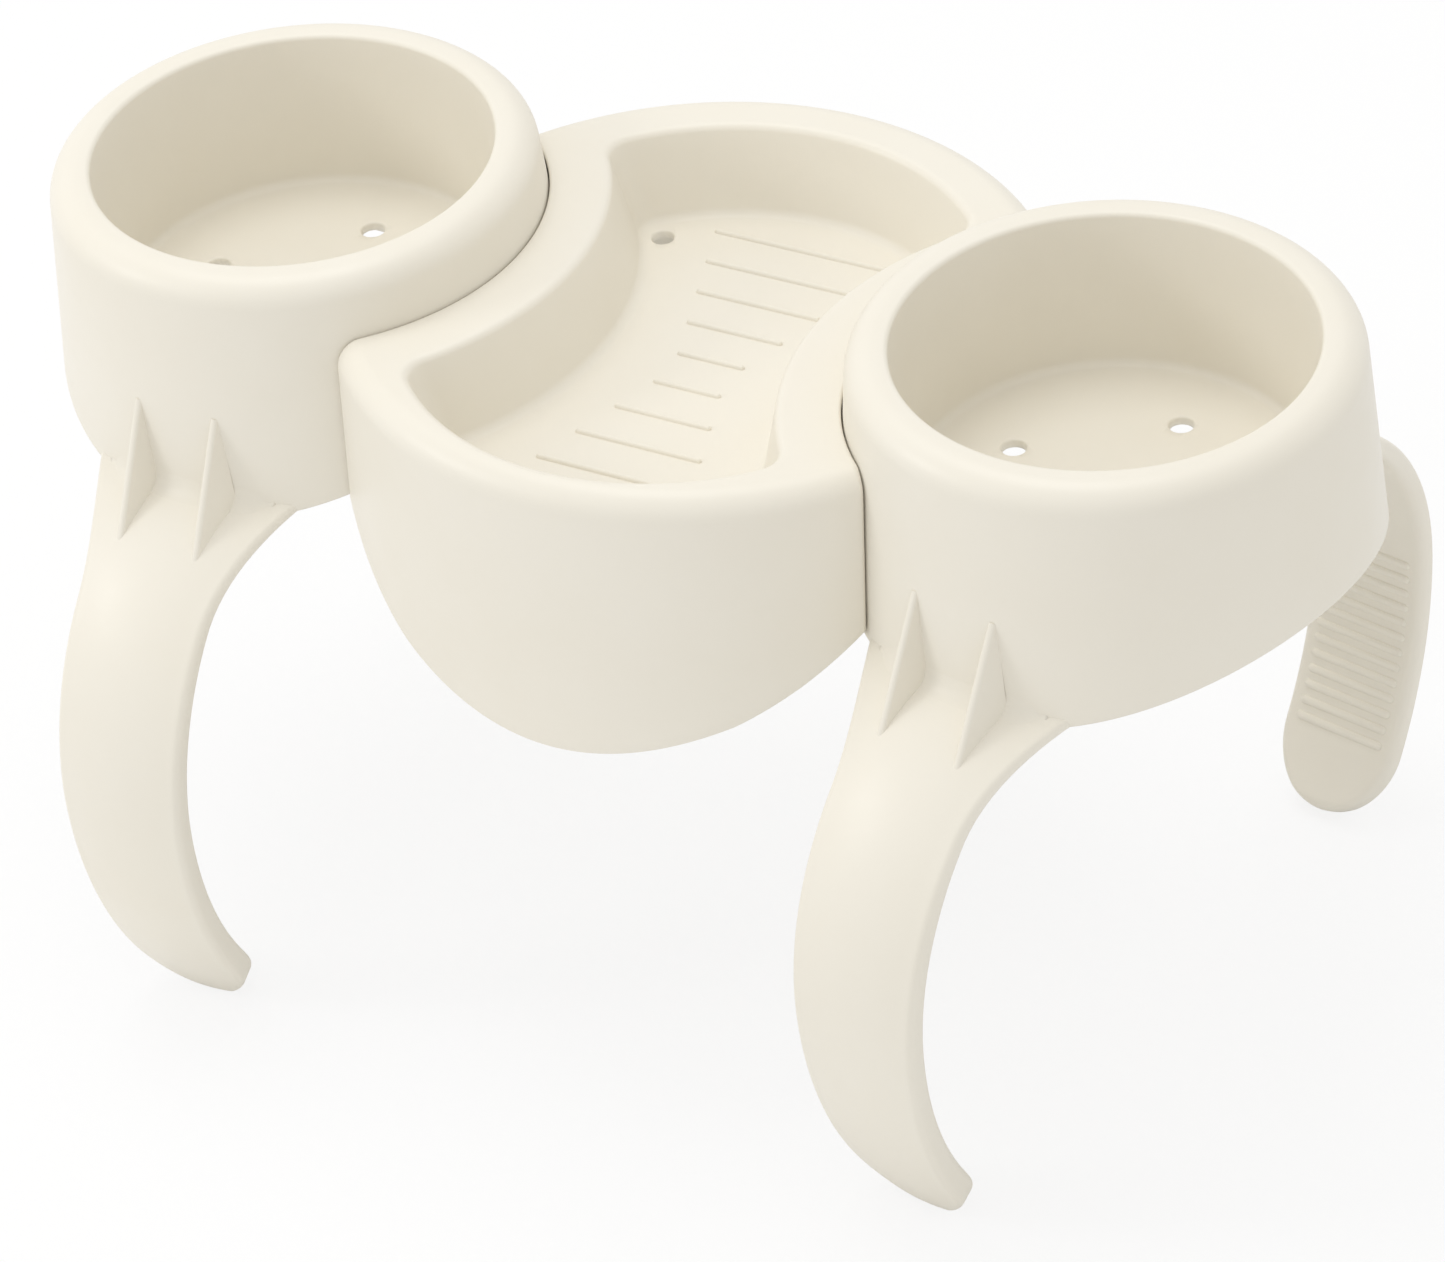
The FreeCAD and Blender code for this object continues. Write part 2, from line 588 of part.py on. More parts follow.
def main():
    doc = FreeCAD.newDocument("hot_tub_tray")
    sheet = new_sheet(doc)
    height = float(sheet.leg_height)
    pieces = []
    for name, side, turn in (("left_cup_holder", -1, "turn_left"), ("right_cup_holder", 1, "turn_right")):
        holder = Holder(doc, sheet, name, -side).build()
        holder.Placement = Placement(Vector(side * float(sheet.cup_pitch) / 2, 0, height),
                                     Rotation(Vector(0, 0, 1), float(getattr(sheet, turn))))
        pieces.append(holder)
    tray = Tray(doc, sheet, "snack_tray").build()
    tray.Placement = Placement(Vector(0, 0, height), Rotation())
    pieces.append(tray)
    doc.recompute()

    failed = [item.Name for item in doc.Objects if {"Invalid", "Error"} & set(item.State)]
    for name in failed:
        print(name, doc.getObject(name).getStatusString())
    if failed:
        raise SystemExit("these objects failed: " + ", ".join(failed))
    for item in pieces:
        shape = item.Shape
        if shape.isNull() or not shape.isValid() or len(shape.Solids) != 1:
            raise SystemExit(f"{item.Label} is not one valid solid")
        print(f"{item.Label}: {shape.Volume / 1000:.1f} cm3, faces {len(shape.Faces)}, box {shape.BoundBox}")
    os.makedirs("parts", exist_ok=True)
    for item in pieces:
        item.Shape.exportStep(f"parts/{item.Label}.step")


main()
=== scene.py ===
"""Hot tub tray in ivory plastic: two cup holders on claw and paddle legs, and a snack tray between them.

The scene is in metres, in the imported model's own frame: X along the row of cups, Y from the front claws to
the rear paddles, Z up from the ground that the legs stand on. The shape classes count in millimetres about
their own axis, with Z zero at the top of the cups' rims, and MM turns them into metres as they are placed.
"""

import logging
import math
from collections.abc import Callable
from dataclasses import dataclass
from enum import Enum

import bmesh
import bpy
import numpy as np
from mathutils import Matrix, Vector

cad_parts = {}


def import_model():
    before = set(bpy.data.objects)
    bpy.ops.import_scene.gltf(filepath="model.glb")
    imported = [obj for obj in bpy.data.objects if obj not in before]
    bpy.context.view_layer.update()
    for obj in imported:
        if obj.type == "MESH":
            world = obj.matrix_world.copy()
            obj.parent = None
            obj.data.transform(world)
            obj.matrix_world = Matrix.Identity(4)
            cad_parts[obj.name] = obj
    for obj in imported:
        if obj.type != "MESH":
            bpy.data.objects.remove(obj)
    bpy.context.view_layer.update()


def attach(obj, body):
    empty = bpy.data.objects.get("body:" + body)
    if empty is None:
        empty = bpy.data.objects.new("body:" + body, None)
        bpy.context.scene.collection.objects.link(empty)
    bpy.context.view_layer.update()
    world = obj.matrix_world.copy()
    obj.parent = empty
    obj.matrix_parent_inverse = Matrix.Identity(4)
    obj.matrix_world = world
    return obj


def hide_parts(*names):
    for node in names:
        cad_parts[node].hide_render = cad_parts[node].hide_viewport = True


log = logging.getLogger("hot_tub_tray")
MM = 0.001
# Points nearer than MERGE become one. Faces that meet at more than CREASE degrees get a sharp edge.
MERGE = 0.01 * MM
CREASE = 50.0
# How much a drain hole widens at its mouths, in millimetres, and the power that squares a lip's turn.
DRAIN_FLARE = 0.35
LIP_POWER = 0.6


class Side(Enum):
    """Which end of the row a holder stands at."""

    LEFT = "left"
    RIGHT = "right"


# How far each holder is turned about its cup as it stands in the photograph, in degrees.
TURNS = {Side.LEFT: -1.0, Side.RIGHT: -10.5}


def link(name: str, mesh: bpy.types.Mesh) -> bpy.types.Object:
    """Puts a mesh into the scene as an object at the origin.

    Args:
        name: The object's name.
        mesh: Its mesh, already in place.

    Returns:
        The new object.
    """
    piece = bpy.data.objects.new(name, mesh)
    bpy.context.scene.collection.objects.link(piece)
    return piece


def discard(pieces: list[bpy.types.Object]) -> None:
    """Removes pieces and their meshes from the scene.

    Args:
        pieces: The pieces.
    """
    for piece in pieces:
        mesh = piece.data
        bpy.data.objects.remove(piece)
        bpy.data.meshes.remove(mesh)


def grid_piece(name: str, points: np.ndarray, faces: np.ndarray) -> bpy.types.Object:
    """Makes a smooth object from arrays of points and four-sided faces.

    Args:
        name: The object's name.
        points: Points, shape (n, 3).
        faces: Corner numbers, shape (m, 4).

    Returns:
        The object, with its doubles merged and its faces turned outwards.
    """
    mesh = bpy.data.meshes.new(name)
    mesh.from_pydata(points.tolist(), [], faces.tolist())
    shape = bmesh.new()
    shape.from_mesh(mesh)
    bmesh.ops.remove_doubles(shape, verts=shape.verts, dist=MERGE)
    bmesh.ops.recalc_face_normals(shape, faces=shape.faces)
    shape.to_mesh(mesh)
    shape.free()
    mesh.shade_smooth()
    return link(name, mesh)


def grid_faces(rows: int, columns: int, start: int = 0) -> np.ndarray:
    """Numbers the faces of a grid whose columns close on themselves.

    Args:
        rows: How many rows of points there are.
        columns: How many points a row has.
        start: The number of the first point.

    Returns:
        Corner numbers, shape ((rows - 1) * columns, 4).
    """
    row, column = np.meshgrid(np.arange(rows - 1), np.arange(columns), indexing="ij")
    after = (column + 1) % columns
    corners = np.stack([row * columns + column, row * columns + after,
                        (row + 1) * columns + after, (row + 1) * columns + column], axis=-1)
    return corners.reshape(-1, 4) + start


def closed_loft(name: str, loops: np.ndarray,
                bend: "Callable[[np.ndarray], np.ndarray] | None" = None) -> bpy.types.Object:
    """Carries closed loops of points into one skin and closes its ends.

    Args:
        name: The object's name.
        loops: Points, shape (loops, points in a loop, 3).
        bend: Moves all the points, those of the end caps too, before the mesh is made.

    Returns:
        The smooth, closed object with faces outwards. A cap shrinks its loop to the middle in four steps.
    """
    middle = loops[[0, -1]].mean(axis=1)[:, None, None]
    shrink = np.linspace(0, 1, 4, endpoint=False)[:, None, None]
    caps = middle + shrink * (loops[[0, -1]][:, None] - middle)
    full = np.concatenate([caps[0], loops, caps[1][::-1]])
    full = bend(full) if bend else full
    return grid_piece(name, full.reshape(-1, 3), grid_faces(full.shape[0], full.shape[1]))


def joined(name: str, parts: list[bpy.types.Object]) -> bpy.types.Object:
    """Puts closed parts into one object, each a skin of its own, and keeps their sharp edges.

    Args:
        name: The new object's name.
        parts: The parts. They are removed from the scene.

    Returns:
        The object.
    """
    shape = bmesh.new()
    for part in parts:
        shape.from_mesh(part.data)
    mesh = bpy.data.meshes.new(name)
    shape.to_mesh(mesh)
    shape.free()
    discard(parts)
    return link(name, mesh)


def arc(radius: float, start: float, end: float, count: int) -> tuple[np.ndarray, np.ndarray]:
    """Points on a circle's arc about the origin, as two rows of coordinates, for angles in degrees."""
    angle = np.radians(np.linspace(start, end, count))
    return radius * np.cos(angle), radius * np.sin(angle)


def carved(piece: bpy.types.Object, cutters: list[bpy.types.Object]) -> None:
    """Cuts closed shapes out of a piece and marks the new edges sharp.

    Args:
        piece: The piece to cut.
        cutters: The shapes to take away. They are removed from the scene.
    """
    for cutter in cutters:
        cut = piece.modifiers.new("cut", "BOOLEAN")
        cut.operation = "DIFFERENCE"
        cut.solver = "EXACT"
        cut.object = cutter
    seen = piece.evaluated_get(bpy.context.evaluated_depsgraph_get())
    mesh = bpy.data.meshes.new_from_object(seen)
    old = piece.data
    piece.modifiers.clear()
    piece.data = mesh
    bpy.data.meshes.remove(old)
    mesh.name = piece.name
    mesh.shade_smooth()
    mesh.set_sharp_from_angle(angle=math.radians(CREASE))
    discard(cutters)


def drill(name: str, place: tuple[float, float], floor: float, wall: float,
          radius: float) -> bpy.types.Object:
    """Makes a drain's cutter, a drill that widens at both faces of a floor and so breaks the hole's edges.

    Args:
        name: The cutter's name.
        place: X and Y of the hole, in millimetres like the other sizes.
        floor: Height of the floor's upper face.
        wall: Thickness of the floor.
        radius: Radius of the hole.

    Returns:
        The cutter, in metres.
    """
    low, flare = floor - wall, DRAIN_FLARE
    about = np.linspace(0, 2 * math.pi, 32, endpoint=False)
    heights = np.array([low - 4 * flare, low, low + flare, floor - flare, floor, floor + 4 * flare])
    radii = radius + flare * np.array([5, 1, 0, 0, 1, 5])
    loops = np.stack([place[0] + radii[:, None] * np.cos(about), place[1] + radii[:, None] * np.sin(about),
                      np.broadcast_to(heights[:, None], (6, 32))], axis=-1)
    return closed_loft(name, loops * MM)


def squared(wave: np.ndarray) -> np.ndarray:
    """Turns a circle's sine or cosine into that of a squarer turn, by a power that keeps the sign."""
    return np.sign(wave) * np.abs(wave) ** LIP_POWER


class Nodes:
    """Adds shader nodes to a tree, each with its inputs set by name."""

    def __init__(self, tree: bpy.types.NodeTree) -> None:
        """Keeps the tree that the nodes go into."""
        self.tree = tree

    def add(self, kind: str, settings: "dict[str, object] | None" = None,
            **inputs: object) -> bpy.types.Node:
        """Adds one node.

        Args:
            kind: The node's type, without its ShaderNode prefix.
            settings: The node's own properties.
            inputs: Values or output sockets for its inputs, by name with underscores for spaces.

        Returns:
            The node.
        """
        node = self.tree.nodes.new("ShaderNode" + kind)
        for key, value in (settings or {}).items():
            setattr(node, key, value)
        for key, value in inputs.items():
            socket = next(entry for entry in node.inputs
                          if entry.name.replace(" ", "_") == key and entry.enabled)
            if isinstance(value, bpy.types.NodeSocket):
                self.tree.links.new(value, socket)
            else:
                socket.default_value = value
        return node

    def maths(self, operation: str, first: object, second: object = 0.0) -> bpy.types.NodeSocket:
        """Adds a Math node.

        Args:
            operation: What it does.
            first: Its first value or socket.
            second: Its second value or socket.

        Returns:
            The socket of its result.
        """
        node = self.tree.nodes.new("ShaderNodeMath")
        node.operation = operation
        for socket, value in zip(node.inputs, (first, second)):
            if isinstance(value, bpy.types.NodeSocket):
                self.tree.links.new(value, socket)
            else:
                socket.default_value = value
        return node.outputs[0]


def new_group(name: str, inputs: "dict[str, tuple[str, object]]",
              outputs: "dict[str, str]") -> bpy.types.ShaderNodeTree:
    """Starts a shader node group with named sockets.

    Args:
        name: The group's name.
        inputs: Socket type and default value, by name.
        outputs: Socket type, by name.

    Returns:
        The group's tree, with its input and output nodes in it.
    """
    tree = bpy.data.node_groups.new(name, "ShaderNodeTree")
    for key, (kind, default) in inputs.items():
        socket = tree.interface.new_socket(key, in_out="INPUT", socket_type=kind)
        socket.default_value = default
    for key, kind in outputs.items():
        tree.interface.new_socket(key, in_out="OUTPUT", socket_type=kind)
    tree.nodes.new("NodeGroupInput")
    tree.nodes.new("NodeGroupOutput")
    return tree


def moulded_grain() -> bpy.types.ShaderNodeTree:
    """A spark-eroded mould's fine grain, with the cloudy tone and gloss of filled plastic.

    Returns:
        A group that takes colours and sizes and gives Colour, Roughness and Height.
    """
    tree = new_group(
        "moulded_grain",
        {"Tone": ("NodeSocketColor", (0.8, 0.8, 0.8, 1)), "Shade": ("NodeSocketColor", (0.7, 0.7, 0.7, 1)),
         "Grain per metre": ("NodeSocketFloat", 1500.0), "Cloud per metre": ("NodeSocketFloat", 28.0),
         "Gloss low": ("NodeSocketFloat", 0.4), "Gloss high": ("NodeSocketFloat", 0.55)},
        {"Colour": "NodeSocketColor", "Roughness": "NodeSocketFloat", "Height": "NodeSocketFloat"})
    nodes = Nodes(tree)
    given, out = tree.nodes["Group Input"], tree.nodes["Group Output"]
    place = nodes.add("TexCoord").outputs["Object"]
    grain = nodes.add("TexNoise", Vector=place, Scale=given.outputs["Grain per metre"], Detail=3.0,
                      Roughness=0.55).outputs["Fac"]
    cloud = nodes.add("TexNoise", Vector=place, Scale=given.outputs["Cloud per metre"], Detail=4.0,
                      Roughness=0.6).outputs["Fac"]
    soft = nodes.add("MapRange", Value=cloud, From_Min=0.35, From_Max=0.7).outputs["Result"]
    mottle = nodes.maths("MULTIPLY_ADD", grain, 0.25)
    mottle.node.inputs[2].default_value = -0.125
    blend = nodes.maths("ADD", soft, mottle)
    colour = nodes.add("Mix", {"data_type": "RGBA", "clamp_factor": True})
    tree.links.new(blend, colour.inputs[0])
    tree.links.new(given.outputs["Tone"], colour.inputs[6])
    tree.links.new(given.outputs["Shade"], colour.inputs[7])
    gloss = nodes.add("MapRange", Value=blend, To_Min=given.outputs["Gloss low"],
                      To_Max=given.outputs["Gloss high"])
    tree.links.new(colour.outputs[2], out.inputs["Colour"])
    tree.links.new(gloss.outputs["Result"], out.inputs["Roughness"])
    tree.links.new(grain, out.inputs["Height"])
    return tree


@dataclass(frozen=True)
class IvoryPlastic:
    """The finish of one moulding.

    Attributes:
        name: The material's name.
        tone: Linear colour of the plastic.
        shade: Linear colour of its slightly darker clouds.
        grain: Depth of the mould's grain.
        gloss_low: Roughness where the skin is smoothest.
        gloss_high: Roughness where it is dullest.
        bump: Strength of the grain.
        specular: The shader's specular level.
    """

    name: str
    tone: tuple[float, float, float] = (0.85, 0.811, 0.718)
    shade: tuple[float, float, float] = (0.84, 0.798, 0.7)
    grain: float = 0.03 * MM
    gloss_low: float = 0.36
    gloss_high: float = 0.46
    bump: float = 0.5
    specular: float = 0.36

    def material(self, grain_group: bpy.types.ShaderNodeTree) -> bpy.types.Material:
        """Builds the material.

        Args:
            grain_group: The shared group that makes the moulded grain.

        Returns:
            The material, ready for a piece's slot.
        """
        finish = bpy.data.materials.new(self.name)
        finish.use_nodes = True
        nodes = Nodes(finish.node_tree)
        shader = finish.node_tree.nodes["Principled BSDF"]
        skin = nodes.add("Group", {"node_tree": grain_group}, Tone=(*self.tone, 1), Shade=(*self.shade, 1),
                         Gloss_low=self.gloss_low, Gloss_high=self.gloss_high)
        bump = nodes.add("Bump", Strength=self.bump, Distance=self.grain, Height=skin.outputs["Height"])
        finish.node_tree.links.new(skin.outputs["Colour"], shader.inputs["Base Color"])
        finish.node_tree.links.new(skin.outputs["Roughness"], shader.inputs["Roughness"])
        finish.node_tree.links.new(bump.outputs["Normal"], shader.inputs["Normal"])
        shader.inputs["Specular IOR Level"].default_value = self.specular
        finish.diffuse_color = (*self.tone, 1)
        return finish


def dress(piece: bpy.types.Object, finish: bpy.types.Material, body: str) -> None:
    """Gives a piece its finish and its place in the model.

    Args:
        piece: The piece.
        finish: Its material.
        body: The body that it rides on.
    """
    piece.data.materials.clear()
    piece.data.materials.append(finish)
    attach(piece, body)
    log.info("%s: %d faces on %s", piece.name, len(piece.data.polygons), body)


@dataclass(frozen=True)
class CupShell:
    """Rim, cup and skirt: one wall turned about the cup's axis and folded back. Sizes in millimetres.

    Attributes:
        cup_radius: Inside radius at the rim.
        floor_radius: Inside radius at the floor.
        depth: From the rim's top to the floor.
        wall: Wall thickness.
        floor_corner: Radius between floor and wall.
        rim_width: From the cup's inside to the skirt's outside at the top.
        rim_round: Radius of the rim's outer edge.
        rim_edge: Radius of the rim's inner edge.
        flare: How much the skirt's radius grows for each millimetre down.
        saddle_radius: Radius of the arch cut along X from below.
        saddle_drop: Depth of the arch's top below the rim.
        lip: Radius of the skirt's lower edge.
        drain_radius: Radius of a drain hole.
        drain_circle: Radius of the circle that the drains stand on.
        hub: Radius of the floor's innermost ring of points.
        columns: How many points go round the axis.
    """

    cup_radius: float = 53.0
    floor_radius: float = 51.8
    depth: float = 45.6
    wall: float = 2.6
    floor_corner: float = 2.4
    rim_width: float = 10.8
    rim_round: float = 7.5
    rim_edge: float = 1.4
    flare: float = 6.0 / 76.0
    saddle_radius: float = 140.0
    saddle_drop: float = 52.6
    lip: float = 1.0
    drain_radius: float = 3.2
    drain_circle: float = 30.2
    hub: float = 3.0
    columns: int = 192

    def skirt(self, z: np.ndarray) -> np.ndarray:
        """Outside radius of the skirt at a height below the rim."""
        return self.cup_radius + self.rim_width - self.flare * np.asarray(z)

    def arch(self, y: np.ndarray) -> np.ndarray:
        """Height of the arch under the skirt at a distance along Y from the cup's axis."""
        rise = np.sqrt(np.maximum(self.saddle_radius ** 2 - y ** 2, 0))
        return rise - self.saddle_radius - self.saddle_drop

    def saddle(self, inset: float) -> np.ndarray:
        """Finds the arch under each column of the skirt.

        A column at angle a about the axis ends where z = arch(y) with y = (skirt(z) - inset) * sin a.
        Putting z back in four times settles it.

        Args:
            inset: How far inside the skirt's outside the columns stand.

        Returns:
            The arch's height, one for each column.
        """
        sine = np.sin(np.linspace(0, 2 * math.pi, self.columns, endpoint=False))
        z = np.full(self.columns, -self.saddle_drop)
        for _ in range(4):
            z = self.arch((self.skirt(z) - inset) * sine)
        return z

    def loops(self) -> np.ndarray:
        """Carries the wall's section round the axis.

        The section runs from the middle of the floor up the cup's inside, over the rim, down the skirt's
        outside to the arch, round its lower edge and back inside to the underside of the floor. Column by
        column only the stretch between rim and arch changes length.

        Returns:
            Points of shape (rows, columns, 3).
        """
        rows: list[tuple[object, object]] = []

        def add(radius: np.ndarray, z: np.ndarray) -> None:
            """Adds rows, each a number or one number for each column."""
            rows.extend(zip(np.broadcast_to(radius, z.shape) if np.ndim(radius) < np.ndim(z) else radius, z))

        tilt = math.degrees(math.atan(self.flare))
        centre = self.skirt(-self.rim_round) - self.rim_round / math.cos(math.radians(tilt))
        corner = self.floor_radius - self.floor_corner
        taper = (self.cup_radius - self.floor_radius) / self.depth
        across = np.linspace(self.hub, corner, 16)
        add(across, np.full(16, -self.depth))
        x, z = arc(self.floor_corner, -90, 0, 7)
        add(corner + x[1:], self.floor_corner - self.depth + z[1:])
        z = np.linspace(self.floor_corner - self.depth, -self.rim_edge, 9)[1:-1]
        add(self.floor_radius + taper * (z + self.depth), z)
        x, z = arc(self.rim_edge, 180, 90, 7)
        add(self.cup_radius + self.rim_edge + x, z - self.rim_edge)
        x, z = arc(self.rim_round, 90, tilt, 14)
        add(centre + x, z - self.rim_round)
        top = z[-1] - self.rim_round
        outer, inner = self.saddle(0.0), self.saddle(self.wall)
        share = np.linspace(0, 1, 18)[1:, None]
        z = top + share * (outer + self.lip - top)
        add(self.skirt(z), z)
        turn = np.linspace(0, math.pi, 11)[1:-1, None]
        z = (outer + inner) / 2 + (outer - inner) / 2 * np.cos(turn) + self.lip * (1 - squared(np.sin(turn)))
        add(self.skirt(z) - self.wall / 2 * (1 - squared(np.cos(turn))), z)
        top = -self.rim_round
        z = inner + self.lip + share[::2] * (top - inner - self.lip)
        add(self.skirt(z) - self.wall, z)
        x, z = arc(self.rim_round - self.wall, tilt, 90, 8)
        add(centre + x[1:], z[1:] - self.rim_round)
        z = np.linspace(-self.wall, self.floor_corner - self.depth, 9)
        add(self.floor_radius + self.wall + taper * (z + self.depth), z)
        x, z = arc(self.floor_corner + self.wall, 0, -90, 8)
        add(corner + x[1:], self.floor_corner - self.depth + z[1:])
        add(across[::-2], np.full(8, -self.depth - self.wall))
        radius, height = (np.stack([np.broadcast_to(row[part], self.columns) for row in rows])
                          for part in (0, 1))
        about = np.linspace(0, 2 * math.pi, self.columns, endpoint=False)
        return np.stack([radius * np.cos(about), radius * np.sin(about), height], axis=-1)

    def inside_wall(self, points: np.ndarray) -> np.ndarray:
        """Pushes points that lie inside the skirt, over its lower edge, out to the middle of its wall.

        Args:
            points: Points of shape (..., 3).

        Returns:
            The points, each moved straight away from the cup's axis or left as it is.
        """
        radius = np.hypot(points[..., 0], points[..., 1])
        middle = self.skirt(points[..., 2]) - self.wall / 2
        share = np.clip((points[..., 2] - self.arch(points[..., 1])) / self.lip, 0.0, 1.0)
        grow = 1 + share * np.maximum(middle / np.maximum(radius, 1.0) - 1, 0.0)
        return points * np.stack([grow, grow, np.ones_like(grow)], axis=-1)


@dataclass(frozen=True)
class Leg:
    """A claw or a paddle: a section carried down two bends that meet at the belly. Sizes in millimetres.

    Attributes:
        back: -1 for the claw, which reaches to the front, and 1 for the paddle.
        reach: How far the outer face's side edges reach from the cup's axis.
        belly: Depth of the furthest point below the rim.
        bend_up: Radius of the outer face above the belly.
        bend_down: Radius below the belly.
        crown: How far the outer face stands proud in the middle.
        half_neck: Half the width at the neck.
        half_tip: Half the width at the tip, which is also the tip's radius.
        face_edge: Radius of the outer face's edges.
        inner_edge: Radius of the inner face's edges.
        nose: Distance over which the tip thins to a rounded end.
        thick: Thickness at the belly.
        thin: How much of that is lost towards the top.
        grow: How much is gained towards the tip.
        root_flare: Radius of the flare at the root.
        neck_depth: Depth at which the flare ends.
        height: Depth of the ground below the rim.
        root_angle: Angle above the belly at which the leg starts, in degrees.
    """

    back: int
    reach: float
    belly: float
    bend_up: float
    bend_down: float
    crown: float
    half_neck: float
    half_tip: float
    face_edge: float
    inner_edge: float
    nose: float
    thick: float = 6.0
    thin: float = 4.0
    grow: float = 6.0
    root_flare: float = 26.4
    neck_depth: float = 86.0
    height: float = 215.0
    root_angle: float = 80.0

    def half_width(self, depth: np.ndarray) -> np.ndarray:
        """Works out half the leg's width as a flare, a taper and a round tip.

        The flare is a circle's arc over the neck, up to nine tenths of its radius. The taper runs evenly
        from the neck to where the tip starts, and there the width falls as a circle's does.

        Args:
            depth: Depths below the rim.

        Returns:
            Half the width at each depth.
        """
        start = self.height - self.half_tip
        above = np.clip(self.neck_depth - depth, 0, 0.9 * self.root_flare)
        flare = self.root_flare - np.sqrt(self.root_flare ** 2 - above ** 2)
        share = np.clip((depth - self.neck_depth) / (start - self.neck_depth), 0, 1)
        taper = self.half_neck + share * (self.half_tip - self.half_neck)
        past = np.clip((depth - start) / self.half_tip, 0, 1)
        return (taper + flare) * np.sqrt(1 - past ** 2)

    def section(self, half: np.ndarray, thick: np.ndarray) -> np.ndarray:
        """The leg's closed section at each station, as X and height over the face's side edges.

        The outer face is the parabola crown * (1 - (x / w)^2), where w is half_neck or, at the flare, half
        the leg's width. The inner face is flat, and quarter circles join them to straight sides. Towards the
        tip their radii stay under shares of the half width and the thickness.

        Args:
            half: Half the width at each station, shape (stations, 1).
            thick: The thickness at each station, shape (stations, 1).

        Returns:
            X and height of each point, shape (stations, points, 2).
        """
        face = np.minimum(self.face_edge, np.minimum(0.98 * half, 0.45 * thick))
        inner = np.minimum(self.inner_edge, np.minimum(0.98 * half, 0.5 * thick))
        out = np.linspace(0, 1, 9)
        turn = np.radians(np.linspace(0, 90, 7))
        x_face = out * (half - face)
        x_row = [x_face, half - face * (1 - np.sin(turn[1:])), half - inner * (1 - np.sin(turn[::-1])),
                 (half - inner) * out[-2::-1]]
        level = self.crown * (1 - (x_face / np.maximum(self.half_neck, half)) ** 2)
        n_row = [level, level[:, -1:] - face * (1 - np.cos(turn[1:])),
                 inner * (1 - np.cos(turn[::-1])) - thick, np.broadcast_to(-thick, (len(thick), 8))]
        x, n = np.concatenate(x_row, axis=1), np.concatenate(n_row, axis=1)
        return np.stack([np.concatenate([x, -x[:, -2:0:-1]], axis=1),
                         np.concatenate([n, n[:, -2:0:-1]], axis=1)], axis=-1)

    def loops(self) -> np.ndarray:
        """Places the section at stations down the leg.

        A station at angle a above or below the belly stands on the circle of that bend, square to it, at
        centre + (radius + height) * (cos a, sin a) in the plane of Y and Z.

        Returns:
            Points of shape (stations, points, 3).
        """
        last = math.asin((self.height - self.belly) / self.bend_down)
        above = np.radians(np.linspace(self.root_angle, 0, 34, endpoint=False))
        below = last * (1 - (1 - np.linspace(0, 1, 60)) ** 2)
        angle = np.concatenate([above, -below])
        radius = np.where(angle > 0, self.bend_up, self.bend_down)
        depth = self.belly - radius * np.sin(angle)
        bow = 1 - np.cos(angle)
        thick = self.thick + np.where(angle > 0, -self.thin, self.grow) * bow
        half = np.maximum(self.half_width(depth), 0.02)
        section = self.section(half[:, None], thick[:, None])
        to_end = self.bend_down * (last + angle) / self.nose
        shrink = np.sqrt(1 - (1 - np.clip(to_end, 0.0, 1.0)) ** 2)[:, None]
        middle = -thick[:, None] / 2
        out = radius[:, None] + middle + (section[..., 1] - middle) * shrink
        y = self.back * (self.reach - radius[:, None] + out * np.cos(angle)[:, None])
        z = -self.belly + out * np.sin(angle)[:, None]
        return np.stack([section[..., 0], y, z], axis=-1)


